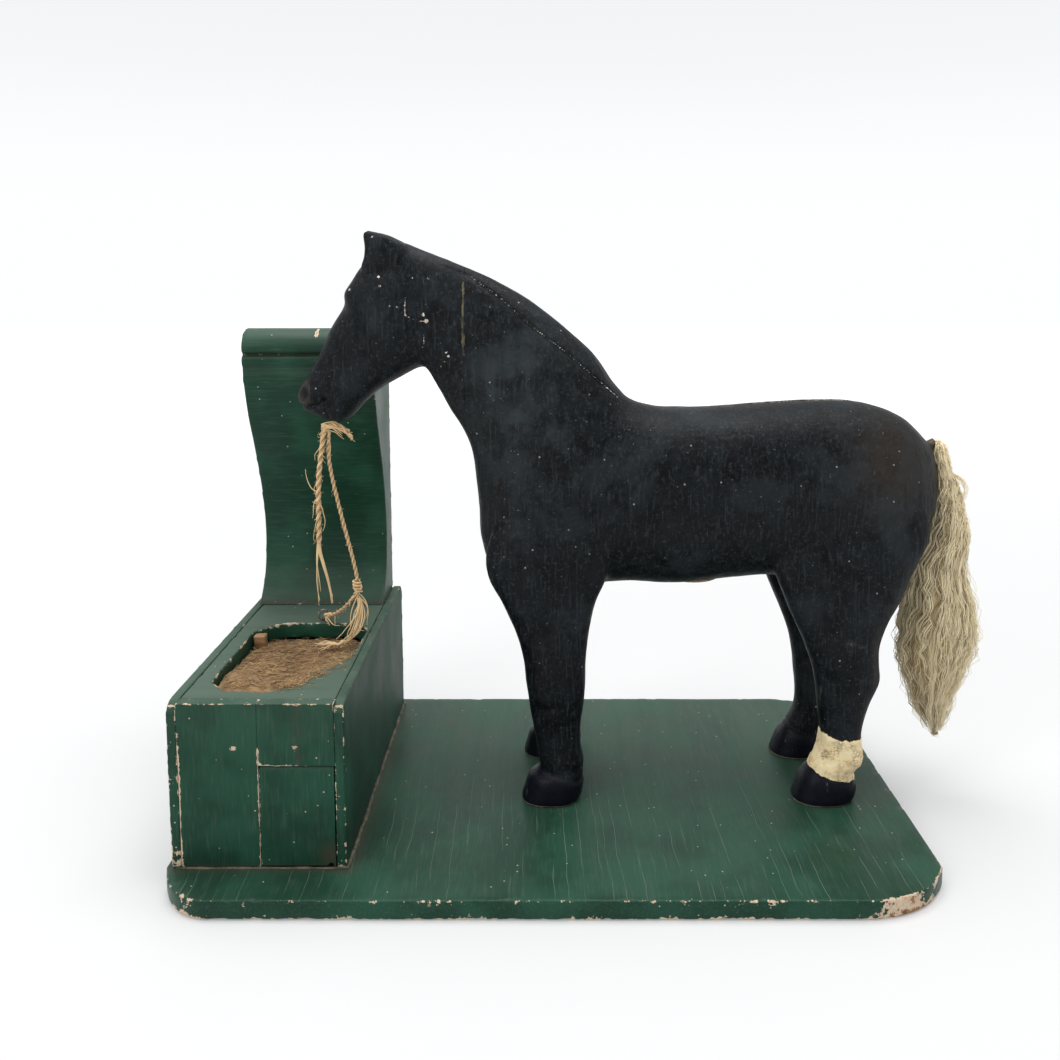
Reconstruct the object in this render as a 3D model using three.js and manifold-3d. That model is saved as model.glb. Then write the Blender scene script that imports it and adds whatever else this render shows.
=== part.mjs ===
// Carved and painted wooden horse coin bank: the horse stands on a board platform with its head over a
// manger. Millimetres, +Z up, +X towards the tail, -Y towards the near side, origin at the centre of the
// platform's underside.
import * as THREE from 'three';
import { mergeVertices } from 'three/addons/utils/BufferGeometryUtils.js';
import { ParametricGeometry } from 'three/addons/geometries/ParametricGeometry.js';
import Module from 'manifold-3d';

const wasm = await Module();
wasm.setup();

// ---------------------------------------------------------------- driving dimensions
const GAP = 0.3; // between pieces that touch
const REACH = 500; // half size of the blocks that cut solids at a plane

const PLATFORM = { length: 381, width: 228.6, thickness: 9.5, cutRight: 42, cutLeft: 26, cutDeep: 28 };
const FLOOR = PLATFORM.thickness + GAP; // lowest point of everything that stands on the platform

const MANGER = { left: -187.4, right: -101.7, front: -88, back: 107, top: 93.5, side: 4.8, corner: 7 };
const INNER_LEFT = MANGER.left + MANGER.side + GAP;
const INNER_RIGHT = MANGER.right - MANGER.side - GAP;
const FRONT_BOARD = 6.4; // thickness
const FRONT_SEAM_X = -143.7;
const FRONT_SEAM_Z = 62;
const TOP_BOARD = 9.5; // thickness
const BACK_BOARD = { left: -184.2, right: -106.8, back: 101, top: 266.6 };
const TROUGH_FLOOR = { bottom: 68, top: 74 };
const NAIL_HEIGHT = 71;

const CENTRE_Y = 10; // centre plane of the horse and of the manger
const NECK_JOINT_X = -49;
const LEG_OFFSET = 28; // leg centres from the centre plane
const FORE_HOOF_X = -2;
const HIND_HOOF_X = 149;
const COIN_SLOT = { start: 108, end: 175, width: 4.8, bottom: 200 };
const COIN_BOX = { start: 60, end: 172, bottom: 152, top: 207, halfWidth: 21, corner: 9 };
const PLUG = { x: 78, radius: 16, top: 149, bottom: 128 };
const DOWEL = { radius: 4, halfLength: 14 };
const TAIL_PEG = { start: [198, CENTRE_Y, 196.5], end: [214.6, CENTRE_Y, 204.3], radius: 3 };
const DOOR_HINGE = { y: MANGER.front + FRONT_BOARD / 2, z: FRONT_SEAM_Z - GAP - FRONT_BOARD / 2 };
const NAIL = { radius: 0.9, headRadius: 2, head: 0.8, length: 22, leftX: -155.8, rightX: -124.8 };
const PIVOT = { reach: 7 }; // how far a pivot nail runs into the door and into the board beside it

// ---------------------------------------------------------------- looks
const PAINT_BLACK = { color: 0x24282c, roughness: 0.45, metalness: 0 };
const PAINT_GREEN = { color: 0x1d4433, roughness: 0.4, metalness: 0 };
const BARE_WOOD = { color: 0xa9794a, roughness: 0.75, metalness: 0 };
const IRON = { color: 0x6f6a66, roughness: 0.5, metalness: 0.9 };
const HAY = { color: 0x84653f, roughness: 0.95, metalness: 0 };
const HAIR = { color: 0xd8caa8, roughness: 0.9, metalness: 0 };
const TWINE = { color: 0xc39c62, roughness: 0.9, metalness: 0 };

// ---------------------------------------------------------------- solids
const WELD = 1e-4; // vertices closer than this are one
const WELD_CUT = 4e-3; // the same, for the slivers that a cut leaves

// The geometry's triangles on shared vertices, without those that the weld closes up.
function welded(geometry, tolerance) {
  const merged = mergeVertices(geometry, tolerance);
  const corners = merged.index.array;
  const kept = [];
  for (let i = 0; i < corners.length; i += 3) {
    const [a, b, c] = [corners[i], corners[i + 1], corners[i + 2]];
    if (a !== b && b !== c && c !== a) kept.push(a, b, c);
  }
  merged.setIndex(kept);
  return merged;
}

function solidOf(geometry) {
  geometry.deleteAttribute('normal');
  geometry.deleteAttribute('uv');
  const closed = welded(geometry, WELD);
  return new wasm.Manifold(new wasm.Mesh({
    numProp: 3,
    vertProperties: new Float32Array(closed.attributes.position.array),
    triVerts: new Uint32Array(closed.index.array),
  }));
}

function geometryOf(solid) {
  const mesh = solid.getMesh();
  const geometry = new THREE.BufferGeometry();
  geometry.setAttribute('position', new THREE.BufferAttribute(new Float32Array(mesh.vertProperties), 3));
  geometry.setIndex(new THREE.BufferAttribute(new Uint32Array(mesh.triVerts), 1));
  const closed = welded(geometry, WELD_CUT);
  closed.computeVertexNormals();
  return closed;
}

function block([x0, x1], [y0, y1], [z0, z1]) {
  const geometry = new THREE.BoxGeometry(x1 - x0, y1 - y0, z1 - z0);
  geometry.translate((x0 + x1) / 2, (y0 + y1) / 2, (z0 + z1) / 2);
  return solidOf(geometry);
}

// A rod from start to end, with a round section.
function rod(start, end, radius, sides = 20) {
  const from = new THREE.Vector3(...start);
  const to = new THREE.Vector3(...end);
  const along = to.clone().sub(from);
  const geometry = new THREE.CylinderGeometry(radius, radius, along.length(), sides);
  const upwards = new THREE.Vector3(0, 1, 0);
  const turn = new THREE.Quaternion().setFromUnitVectors(upwards, along.clone().normalize());
  geometry.applyQuaternion(turn);
  geometry.translate(...from.add(to).multiplyScalar(0.5).toArray());
  return solidOf(geometry);
}

// A turned pin along +Z: the profile is a list of [radius, height].
function turned(profile, sides = 20) {
  const geometry = new THREE.LatheGeometry(profile.map(([r, h]) => new THREE.Vector2(r, h)), sides);
  return solidOf(geometry.rotateX(Math.PI / 2));
}

// An outline in X-Y, raised from z0 to z1.
function plate(shape, z0, z1) {
  const options = { depth: z1 - z0, bevelEnabled: false, curveSegments: 6 };
  const geometry = new THREE.ExtrudeGeometry(shape, options);
  geometry.translate(0, 0, z0);
  return solidOf(geometry);
}

// An outline in Y-Z, run along X from x0 to x1.
function sawn(shape, x0, x1) {
  const options = { depth: x1 - x0, bevelEnabled: false, curveSegments: 6 };
  const geometry = new THREE.ExtrudeGeometry(shape, options);
  geometry.applyMatrix4(new THREE.Matrix4().set(0, 0, 1, x0, 1, 0, 0, 0, 0, 1, 0, 0, 0, 0, 0, 1));
  return solidOf(geometry);
}

// A tube of eight-sided section along a smooth route through the points.
function cordTube(points, radius, steps) {
  const section = new THREE.Shape().absarc(0, 0, radius, 0, 2 * Math.PI, true);
  const route = new THREE.CatmullRomCurve3(points.map((point) => new THREE.Vector3(...point)));
  const options = { steps, extrudePath: route, bevelEnabled: false, curveSegments: 4 };
  return solidOf(new THREE.ExtrudeGeometry(section, options));
}

// A carved form: each rib is a flat-sided oval between an upper and a lower point of the side outline.
// A rib is [upper x, upper z, lower x, lower z, half width, offset from the centre plane].
function carved(ribs, around, along) {
  const squareness = 0.86; // 1 is an ellipse, less is squarer
  const last = ribs.length - 1;
  const upper = new THREE.CatmullRomCurve3(ribs.map(([x, z, , , w]) => new THREE.Vector3(x, w, z)));
  const lower = new THREE.CatmullRomCurve3(ribs.map(([, , x, z, , o = 0]) => new THREE.Vector3(x, o, z)));
  const rounded = (value) => Math.sign(value) * Math.abs(value) ** squareness;
  const surface = (u, v, target) => {
    const top = upper.getPoint(v);
    const low = lower.getPoint(v);
    const reach = rounded(Math.cos(2 * Math.PI * u)) / 2;
    const side = -rounded(Math.sin(2 * Math.PI * u)) * (v > 0 && v < 1 ? Math.max(top.y, 0) : 0);
    target.set(
      (top.x + low.x) / 2 + (top.x - low.x) * reach,
      CENTRE_Y + low.y + side,
      (top.z + low.z) / 2 + (top.z - low.z) * reach,
    );
  };
  return solidOf(new ParametricGeometry(surface, around, along ?? last));
}

// Big blocks that keep what is on one side of a plane.
const everywhere = [-REACH, REACH];
const beyond = (at, sign) => (sign > 0 ? [at, at + REACH] : [at - REACH, at]);
const beyondX = (x, sign) => block(beyond(x, sign), everywhere, everywhere);
const beyondY = (y, sign) => block(everywhere, beyond(y, sign), everywhere);
const aboveZ = (z) => block(everywhere, everywhere, beyond(z, 1));

// ---------------------------------------------------------------- the group
const bank = new THREE.Group();
bank.name = 'horse_coin_bank';

function add(name, solid, look) {
  const mesh = new THREE.Mesh(geometryOf(solid), new THREE.MeshStandardMaterial(look));
  mesh.name = name;
  bank.add(mesh);
}

// ---------------------------------------------------------------- platform
const SCREW_PLACES = {
  near_fore: [FORE_HOOF_X, CENTRE_Y - LEG_OFFSET],
  near_hind: [HIND_HOOF_X, CENTRE_Y - LEG_OFFSET],
  far_fore: [FORE_HOOF_X, CENTRE_Y + LEG_OFFSET],
  far_hind: [HIND_HOOF_X, CENTRE_Y + LEG_OFFSET],
};
const SCREW = { head: 3.6, shank: 1.8, bottom: 0.4, neck: 3, end: 28 };

function hoofScrew(grow, end) {
  const { head, shank, bottom, neck } = SCREW;
  return turned([
    [0, bottom - grow], [head + grow, bottom - grow], [head + grow, bottom + 0.6],
    [shank + grow, neck + grow], [shank + grow, end], [0, end + shank],
  ], 12);
}

function platformOutline() {
  const x = PLATFORM.length / 2;
  const y = PLATFORM.width / 2;
  const { cutRight, cutLeft, cutDeep } = PLATFORM;
  const pull = 0.28; // how far the corner's curve stays from the square corner
  const shape = new THREE.Shape();
  shape.moveTo(-x + cutLeft, -y);
  shape.lineTo(x - cutRight, -y);
  shape.quadraticCurveTo(x - cutRight * pull, -y + cutDeep * pull * 0.4, x, -y + cutDeep);
  shape.lineTo(x, y - cutDeep);
  shape.quadraticCurveTo(x - cutRight * pull, y - cutDeep * pull * 0.4, x - cutRight, y);
  shape.lineTo(-x + cutLeft, y);
  shape.quadraticCurveTo(-x + cutLeft * pull, y - cutDeep * pull * 0.4, -x, y - cutDeep);
  shape.lineTo(-x, -y + cutDeep);
  shape.quadraticCurveTo(-x + cutLeft * pull, -y + cutDeep * pull * 0.4, -x + cutLeft, -y);
  return shape;
}

let platform = plate(platformOutline(), 0, PLATFORM.thickness);
for (const [x, y] of Object.values(SCREW_PLACES)) {
  const hole = hoofScrew(GAP, PLATFORM.thickness + 1).add(
    turned([[0, -1], [SCREW.head + GAP, -1], [SCREW.head + GAP, 0.5], [0, 0.5]], 12),
  );
  platform = platform.subtract(hole.translate([x, y, 0]));
}
add('platform', platform, PAINT_GREEN);
for (const [name, [x, y]] of Object.entries(SCREW_PLACES)) {
  add(`hoof_screw_${name}`, hoofScrew(0, SCREW.end).translate([x, y, 0]), IRON);
}

// ---------------------------------------------------------------- manger boards
function sideBoardOutline() {
  const { front, back, top, corner } = MANGER;
  const shape = new THREE.Shape();
  shape.moveTo(front, FLOOR);
  shape.lineTo(back, FLOOR);
  shape.lineTo(back, top - corner);
  shape.absarc(back - corner, top - corner, corner, 0, Math.PI / 2, false);
  shape.absarc(front + corner, top - corner, corner, Math.PI / 2, Math.PI, false);
  return shape;
}

const frontBoardY = [MANGER.front, MANGER.front + FRONT_BOARD];
const behindFront = MANGER.front + FRONT_BOARD + GAP;

// A nail along +Y or along X: its head is flush with the face that it is driven into.
function nailAlongY(x, z, y0, length, grow) {
  const head = rod([x, y0 - grow, z], [x, y0 + NAIL.head + grow, z], NAIL.headRadius + grow, 12);
  return head.add(rod([x, y0, z], [x, y0 + length + grow, z], NAIL.radius + grow, 12));
}

const pivotPinRight = (grow) => rod(
  [MANGER.right + 0.1 + grow, DOOR_HINGE.y, DOOR_HINGE.z],
  [INNER_RIGHT - PIVOT.reach - grow, DOOR_HINGE.y, DOOR_HINGE.z], NAIL.radius + grow, 12);
const pivotPinLeft = (grow) => rod(
  [FRONT_SEAM_X - PIVOT.reach - grow, DOOR_HINGE.y, DOOR_HINGE.z],
  [FRONT_SEAM_X + PIVOT.reach + grow, DOOR_HINGE.y, DOOR_HINGE.z], NAIL.radius + grow, 12);

add('manger_left_side', sawn(sideBoardOutline(), MANGER.left, MANGER.left + MANGER.side), PAINT_GREEN);
const rightSide = sawn(sideBoardOutline(), MANGER.right - MANGER.side, MANGER.right);
add('manger_right_side', rightSide.subtract(pivotPinRight(GAP)), PAINT_GREEN);

const frontNail = (x, grow) => nailAlongY(x, NAIL_HEIGHT, MANGER.front + 0.2, NAIL.length, grow);

const frontBoardTop = MANGER.top - GAP;
const leftBoard = block([INNER_LEFT, FRONT_SEAM_X - GAP / 2], frontBoardY, [FLOOR, frontBoardTop])
  .subtract(frontNail(NAIL.leftX, GAP))
  .subtract(pivotPinLeft(GAP));
const upperBoard = block([FRONT_SEAM_X + GAP / 2, INNER_RIGHT], frontBoardY, [FRONT_SEAM_Z, frontBoardTop])
  .subtract(frontNail(NAIL.rightX, GAP));
add('front_left_board', leftBoard, PAINT_GREEN);
add('front_upper_board', upperBoard, PAINT_GREEN);
add('front_nail_left', frontNail(NAIL.leftX, 0), IRON);
add('front_nail_right', frontNail(NAIL.rightX, 0), IRON);

const floorY = [behindFront, BACK_BOARD.back - FRONT_BOARD - GAP];
const troughFloor = block([INNER_LEFT, INNER_RIGHT], floorY, [TROUGH_FLOOR.bottom, TROUGH_FLOOR.top]);
const nailHoles = frontNail(NAIL.leftX, GAP).add(frontNail(NAIL.rightX, GAP));
add('trough_floor', troughFloor.subtract(nailHoles), BARE_WOOD);
add('manger_back_wall', block([INNER_LEFT, INNER_RIGHT], [BACK_BOARD.back - FRONT_BOARD, BACK_BOARD.back],
  [FLOOR, MANGER.top - TOP_BOARD - GAP]), PAINT_GREEN);

// The door panel turns on two nails at its upper edge, which is rounded about them.
const DOOR_SIDE_GAP = 0.6;
const DOOR_FOOT_GAP = 0.7;
function doorOutline() {
  const half = FRONT_BOARD / 2;
  const shape = new THREE.Shape();
  shape.moveTo(MANGER.front, FLOOR + DOOR_FOOT_GAP);
  shape.lineTo(MANGER.front + FRONT_BOARD, FLOOR + DOOR_FOOT_GAP);
  shape.lineTo(MANGER.front + FRONT_BOARD, DOOR_HINGE.z);
  shape.absarc(DOOR_HINGE.y, DOOR_HINGE.z, half, 0, Math.PI, false);
  return shape;
}
// A small nick at the door's lower right corner takes a fingernail.
const NICK = { x: INNER_RIGHT - 2.4, radius: 1.4 };
const fingerNick = rod(
  [NICK.x, MANGER.front - 2, FLOOR - 1.2], [NICK.x, MANGER.front + 3, FLOOR + 3.6], NICK.radius, 12);
const door = sawn(doorOutline(), FRONT_SEAM_X + DOOR_SIDE_GAP, INNER_RIGHT - DOOR_SIDE_GAP + GAP)
  .subtract(pivotPinLeft(GAP))
  .subtract(pivotPinRight(GAP))
  .subtract(fingerNick);
add('manger_door', door, PAINT_GREEN);
add('door_pivot_nail_left', pivotPinLeft(0), IRON);
add('door_pivot_nail_right', pivotPinRight(0), IRON);

// ---------------------------------------------------------------- trough
const troughCorners = [
  [-174, -60], [-165, -71], [-144, -74], [-132, -66], [-124, -36],
  [-109, -18], [-109, 18], [-118, 28], [-160, 28], [-174, 13],
];
function troughOutline(inset) {
  const middle = [-146, -14];
  const shape = new THREE.Shape();
  troughCorners.forEach(([x, y], i) => {
    const px = x - Math.sign(x - middle[0]) * inset;
    const py = y - Math.sign(y - middle[1]) * inset;
    if (i === 0) shape.moveTo(px, py);
    else shape.lineTo(px, py);
  });
  return shape;
}

const EYE = { x: -137.5, y: 31, ring: 2.8, wire: 0.6, shank: 0.8, depth: 7 };
const eyeShank = (top, grow) => rod(
  [EYE.x, EYE.y, MANGER.top - EYE.depth - grow], [EYE.x, EYE.y, top], EYE.shank + grow, 10);
function hitchingEye() {
  const shankTop = MANGER.top + 1;
  const ring = new THREE.TorusGeometry(EYE.ring, EYE.wire, 6, 16);
  ring.rotateX(Math.PI / 2);
  ring.rotateZ(0.5);
  ring.translate(EYE.x, EYE.y, shankTop + EYE.ring);
  return eyeShank(shankTop, 0).add(solidOf(ring));
}

const topBoardZ = [MANGER.top - TOP_BOARD, MANGER.top - GAP];
const topBoard = block([INNER_LEFT, INNER_RIGHT], [behindFront, BACK_BOARD.back], topBoardZ)
  .subtract(plate(troughOutline(0), topBoardZ[0] - 1, topBoardZ[1] + 1))
  .subtract(eyeShank(MANGER.top + 3, GAP));
add('manger_top_board', topBoard, PAINT_GREEN);
add('hitching_eye', hitchingEye(), IRON);

const CORNER_BLOCK = { x: [-172.5, -166], y: [7.5, 13.5], top: 92.3 };
add('trough_corner_block',
  block(CORNER_BLOCK.x, CORNER_BLOCK.y, [TROUGH_FLOOR.top + GAP, CORNER_BLOCK.top]), BARE_WOOD);

// The hay slopes from the front rim of the trough down towards its back wall.
const HAY_TOP = { front: 92, back: 84.5 };
const hayPitch = Math.atan2(HAY_TOP.front - HAY_TOP.back, 100);
const hayCut = aboveZ(0).rotate([-hayPitch * 180 / Math.PI, 0, 0]).translate([0, -74, HAY_TOP.front]);
const cornerBlockRoom = block([-REACH, CORNER_BLOCK.x[1] + 1], [CORNER_BLOCK.y[0] - 1, REACH], [0, REACH]);
const hay = plate(troughOutline(1), TROUGH_FLOOR.top + GAP, HAY_TOP.front + 1).subtract(hayCut);
add('hay', hay.subtract(cornerBlockRoom), HAY);

// ---------------------------------------------------------------- scrolled back board
// Front face from the foot up, in [y, z]: it flares at the foot, is hollow in the middle and rolls forward.
const backBoardFace = [
  [62, MANGER.top], [70, 101.5], [76.5, 112], [79.2, 126], [79.2, 142], [76.5, 158], [70, 176], [60.5, 195],
  [51.5, 212], [45.5, 228], [42.6, 240], [42.2, 244],
];
const backBoardRoll = [
  [40.8, 245.5], [40.4, 248], [41, 250.4], [43, 251.6], [40.9, 253.6], [40.6, 257], [42.6, 261.6],
  [46.5, 265], [52, BACK_BOARD.top], [64, 266.3], [80, 263.4], [92, 258.5], [BACK_BOARD.back, 250],
];
function backBoardOutline() {
  const shape = new THREE.Shape();
  shape.moveTo(BACK_BOARD.back, MANGER.top);
  shape.lineTo(...backBoardFace[0]);
  shape.splineThru(backBoardFace.slice(1).map(([y, z]) => new THREE.Vector2(y, z)));
  backBoardRoll.forEach(([y, z]) => shape.lineTo(y, z));
  return shape;
}
add('back_board', sawn(backBoardOutline(), BACK_BOARD.left, BACK_BOARD.right), PAINT_GREEN);

// ---------------------------------------------------------------- horse
// From the muzzle over the poll, down the neck and along the barrel to the rump.
const horseRibs = [
  [-130, 218.5, -130, 218.5, 0],
  [-141.5, 226, -121, 216.8, 9.5],
  [-143, 233, -114.5, 218.8, 12.5],
  [-138.5, 241, -107, 226.5, 13],
  [-131, 254, -98.5, 234.2, 13.5],
  [-124, 268.5, -87, 241.2, 15.5],
  [-116, 282, -76, 246.8, 18],
  [-112, 294, -71.5, 247.5, 18.5],
  [-103.5, 306, -69, 245, 17.5],
  [-88, 316.5, -66.5, 240, 16.5],
  [-71, 311.5, -63, 233.5, 16.5],
  [-53, 304.4, -57.5, 223.2, 17],
  [-33, 295.7, -50.5, 212, 18.5],
  [-13, 284, -46, 201, 21],
  [6, 269.2, -43.8, 186, 25],
  [21, 255.6, -42, 168, 29],
  [32, 240, -41, 150, 32.5],
  [42, 229.8, -34, 132, 34.5],
  [56, 225.6, -8, 122, 36],
  [70, 224.7, 35, 126.5, 37],
  [86, 224.8, 72, 125.5, 37.5],
  [104, 226, 98, 128.5, 37.5],
  [124, 227.6, 120, 130, 37],
  [146, 228.8, 142, 127, 36.5],
  [166, 228.3, 164, 124, 36],
  [183, 224.6, 184, 130, 34],
  [198, 218, 200, 142, 29],
  [209.5, 208, 210, 157, 21],
  [215.5, 198, 215.5, 172, 11.5],
  [217, 185, 217, 185, 0],
];

// Legs from inside the body down to the hoof, and ears from the tip down into the head:
// [front x, back x, height, half width, offset].
const foreLeg = [
  [-2, -2, 182, 0, 24], [-30, 30, 165, 9, 25], [-37, 31, 148, 11, 25.5], [-36, 28.5, 134, 11.5, 25.5],
  [-28, 22.5, 119, 11.5, 26], [-20, 19, 101, 11, 27], [-16.5, 17.3, 88, 10.5, 28],
  [-15.5, 17.2, 76, 10.5, 28], [-14, 16.5, 66, 10, 28], [-11.5, 14.4, 52, 9, 28],
  [-9.5, 14.6, 40, 9, 28], [-8, 16.4, 31, 10, 28],
  [-8.5, 16, 26.5, 10, 28], [-13, 16.2, 23.5, 12, 28], [-16, 15.5, 15, 13, 28], [-18, 13.5, 9, 13.5, 28],
  [-19, 12, 4, 13.8, 28], [-3, -3, 2, 0, 28],
];
const hindLeg = [
  [168, 168, 190, 0, 20], [135, 203, 172, 8, 23], [126, 206, 155, 11, 24.5], [120, 203, 139, 12, 25.5],
  [125, 194, 125, 12, 26], [131, 183.5, 111, 11.5, 27], [137, 178.8, 98, 11, 28],
  [141.5, 178.2, 86, 10.5, 28], [143.3, 178.6, 77, 10, 28], [145, 173.5, 64, 9.5, 28],
  [147, 170, 50, 9, 28], [146.5, 169.7, 40, 9.3, 28],
  [142.5, 169.6, 30.5, 10.5, 28], [139, 165, 25.5, 10.5, 28], [137, 166.5, 22.5, 12, 28],
  [134, 166.8, 14.5, 13, 28], [132, 165, 9, 13.5, 28], [131, 164, 4, 13.8, 28], [148, 148, 2, 0, 28],
];
const ear = [
  [-101.2, -101.2, 322.4, 0, 9], [-103.6, -95, 321, 2, 8.8], [-104.2, -88.5, 318.8, 3.6, 8.4],
  [-104.4, -82, 315.2, 5, 8], [-104.6, -79, 308, 5.8, 8], [-105, -79, 300, 6, 8], [-94, -94, 296, 0, 8],
];
const upright = (ribs, side) => ribs.map(
  ([front, back, z, width, offset]) => [back, z, front, z, width, side * offset]);

let horse = carved(horseRibs, 18, 44);
for (const side of [-1, 1]) {
  horse = horse.add(carved(upright(foreLeg, side), 12));
  horse = horse.add(carved(upright(hindLeg, side), 12));
  horse = horse.add(carved(upright(ear, side), 8));
}
horse = horse.intersect(aboveZ(FLOOR));

// Hollow for the coins, the slot into it along the croup, and the plugged hole out of it.
function coinBox() {
  const { start, end, bottom, top, corner, halfWidth } = COIN_BOX;
  const shape = new THREE.Shape();
  shape.absarc(end - corner, top - corner, corner, 0, Math.PI / 2, false);
  shape.absarc(start + corner, top - corner, corner, Math.PI / 2, Math.PI, false);
  shape.absarc(start + corner, bottom + corner, corner, Math.PI, 1.5 * Math.PI, false);
  shape.absarc(end - corner, bottom + corner, corner, 1.5 * Math.PI, 2 * Math.PI, false);
  const options = { depth: 2 * halfWidth, bevelEnabled: false, curveSegments: 3 };
  const geometry = new THREE.ExtrudeGeometry(shape, options);
  geometry.rotateX(Math.PI / 2);
  geometry.translate(0, CENTRE_Y + halfWidth, 0);
  return solidOf(geometry);
}
const slotY = [CENTRE_Y - COIN_SLOT.width / 2, CENTRE_Y + COIN_SLOT.width / 2];
const bellyHole = rod(
  [PLUG.x, CENTRE_Y, 100], [PLUG.x, CENTRE_Y, COIN_BOX.bottom + 5], PLUG.radius + GAP, 28);
const tailPegHole = rod([TAIL_PEG.start[0] - GAP, CENTRE_Y, TAIL_PEG.start[2] - GAP], [224, CENTRE_Y, 208.9],
  TAIL_PEG.radius + GAP, 12);
const dowelPlaces = { near: [CENTRE_Y - 8, 240], far: [CENTRE_Y + 8, 272] };
const dowel = ([y, z], grow) => rod(
  [NECK_JOINT_X - DOWEL.halfLength - grow, y, z], [NECK_JOINT_X + DOWEL.halfLength + grow, y, z],
  DOWEL.radius + grow, 16);

let carcass = horse
  .subtract(coinBox())
  .subtract(block([COIN_SLOT.start, COIN_SLOT.end], slotY, [COIN_SLOT.bottom, 240]))
  .subtract(bellyHole)
  .subtract(tailPegHole);
for (const place of Object.values(dowelPlaces)) carcass = carcass.subtract(dowel(place, GAP));
for (const [x, y] of Object.values(SCREW_PLACES)) {
  carcass = carcass.subtract(hoofScrew(GAP, SCREW.end + GAP).translate([x, y, 0]));
}

add('horse_head', carcass.intersect(beyondX(NECK_JOINT_X - GAP / 2, -1)), PAINT_BLACK);
const body = carcass.intersect(beyondX(NECK_JOINT_X + GAP / 2, 1));
add('horse_near_half', body.intersect(beyondY(CENTRE_Y - GAP / 2, -1)), PAINT_BLACK);
add('horse_far_half', body.intersect(beyondY(CENTRE_Y + GAP / 2, 1)), PAINT_BLACK);
add('belly_plug', turned([
  [0, PLUG.bottom], [PLUG.radius - 0.6, PLUG.bottom], [PLUG.radius, PLUG.bottom + 1.5],
  [PLUG.radius, PLUG.top], [0, PLUG.top],
], 28).translate([PLUG.x, CENTRE_Y, 0]), BARE_WOOD);
for (const [name, place] of Object.entries(dowelPlaces)) {
  add(`neck_dowel_${name}`, dowel(place, 0), BARE_WOOD);
}
add('tail_peg', rod(TAIL_PEG.start, TAIL_PEG.end, TAIL_PEG.radius, 12), BARE_WOOD);

// ---------------------------------------------------------------- tail
// Hair hanks hanging from the peg: [front x, back x, height, half width].
const tailRibs = [
  [218, 218, 205, 0], [216.2, 220.6, 203, 4.2], [218, 224.5, 193, 7], [218.4, 227.6, 182, 9],
  [217, 231, 168, 10.5], [214.5, 236, 150, 12], [207, 238.2, 128, 13.5], [200.5, 241, 108, 14.5],
  [198, 242, 90, 14.5], [199.5, 238.5, 75, 13], [206, 231.5, 57, 9.5], [214.5, 227, 41, 5.5],
  [222, 222, 31, 0],
];
add('tail', carved(upright(tailRibs.map((rib) => [...rib, 0]), 1), 12), HAIR);

// ---------------------------------------------------------------- twine lead
// Routes chosen by hand, in millimetres; each starts where its cord leaves the mouth or a knot.
const leadDrop = [
  [-125.8, 6, 211], [-126.2, 5.6, 207], [-126.5, 5.6, 202], [-126.3, 6, 196], [-125.6, 6.6, 189.5],
  [-124.6, 7.4, 182.5], [-123.2, 8.2, 175], [-121.7, 8.8, 167.5], [-120.1, 9.2, 160], [-118.4, 9.6, 152.5],
  [-116.8, 9.8, 145.5], [-115.3, 10, 139], [-114.1, 10, 133.5], [-113.2, 10, 128.8], [-112.7, 10, 124.6],
];
const leadToEye = [
  [-114.2, 11.6, 116.4], [-115.6, 12.9, 114], [-117.4, 14.4, 111.4], [-119.4, 16, 108.9],
  [-121.5, 17.8, 106.5], [-123.6, 19.6, 104.4], [-125.7, 21.4, 102.6], [-127.7, 23.1, 101],
  [-129.5, 24.7, 99.8], [-131.1, 26.2, 98.8],
  [-132.3, 27.4, 98.1], [-133.2, 28.2, 97.7], [-133.9, 28.8, 97.4], [-134.4, 29.2, 97.2], [-134.8, 29.5, 97],
];
const leadToHay = [
  [-111.9, 9.6, 114.6], [-111.6, 9.1, 112.6], [-111.5, 8.4, 110.4], [-111.6, 7.6, 108.2], [-111.9, 6.8, 106],
  [-112.3, 6, 103.9], [-112.8, 5.2, 101.9], [-113.4, 4.4, 100], [-114, 3.7, 98.3], [-114.7, 3, 96.7],
  [-115.4, 2.4, 95.3], [-116.1, 1.9, 94.1], [-116.8, 1.5, 93], [-117.4, 1.2, 92.2], [-117.9, 1, 91.6],
];
const frayedDrop = [
  [-128.3, 4.4, 211], [-128.9, 3.6, 207], [-129.5, 3, 202.5], [-130.1, 2.6, 198], [-130.6, 2.4, 193.5],
  [-131.1, 2.4, 189], [-131.5, 2.5, 184.5], [-131.8, 2.7, 180], [-132, 3, 175.5], [-132.2, 3.3, 171],
  [-132.3, 3.6, 166.5], [-132.4, 3.8, 162], [-132.5, 4, 157.5], [-132.6, 4.1, 153], [-132.6, 4.2, 148.5],
];
const lipWrap = [
  [-129.6, 4.6, 213.8], [-126.4, 5.2, 214.6], [-122.6, 6, 214.2], [-118.8, 6.8, 212.6], [-115, 7.2, 210],
];
const LEAD_RADIUS = 1.1;
const FRAYED_RADIUS = 1.5;
const WRAP_RADIUS = 1;
add('lead_drop', cordTube(leadDrop, LEAD_RADIUS, 40), TWINE);
add('lead_to_eye', cordTube(leadToEye, LEAD_RADIUS, 16), TWINE);
add('lead_to_hay', cordTube(leadToHay, LEAD_RADIUS, 14), TWINE);
add('lead_frayed_end', cordTube(frayedDrop, FRAYED_RADIUS, 24), TWINE);
add('lead_lip_wrap', cordTube(lipWrap, WRAP_RADIUS, 8), TWINE);

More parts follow.
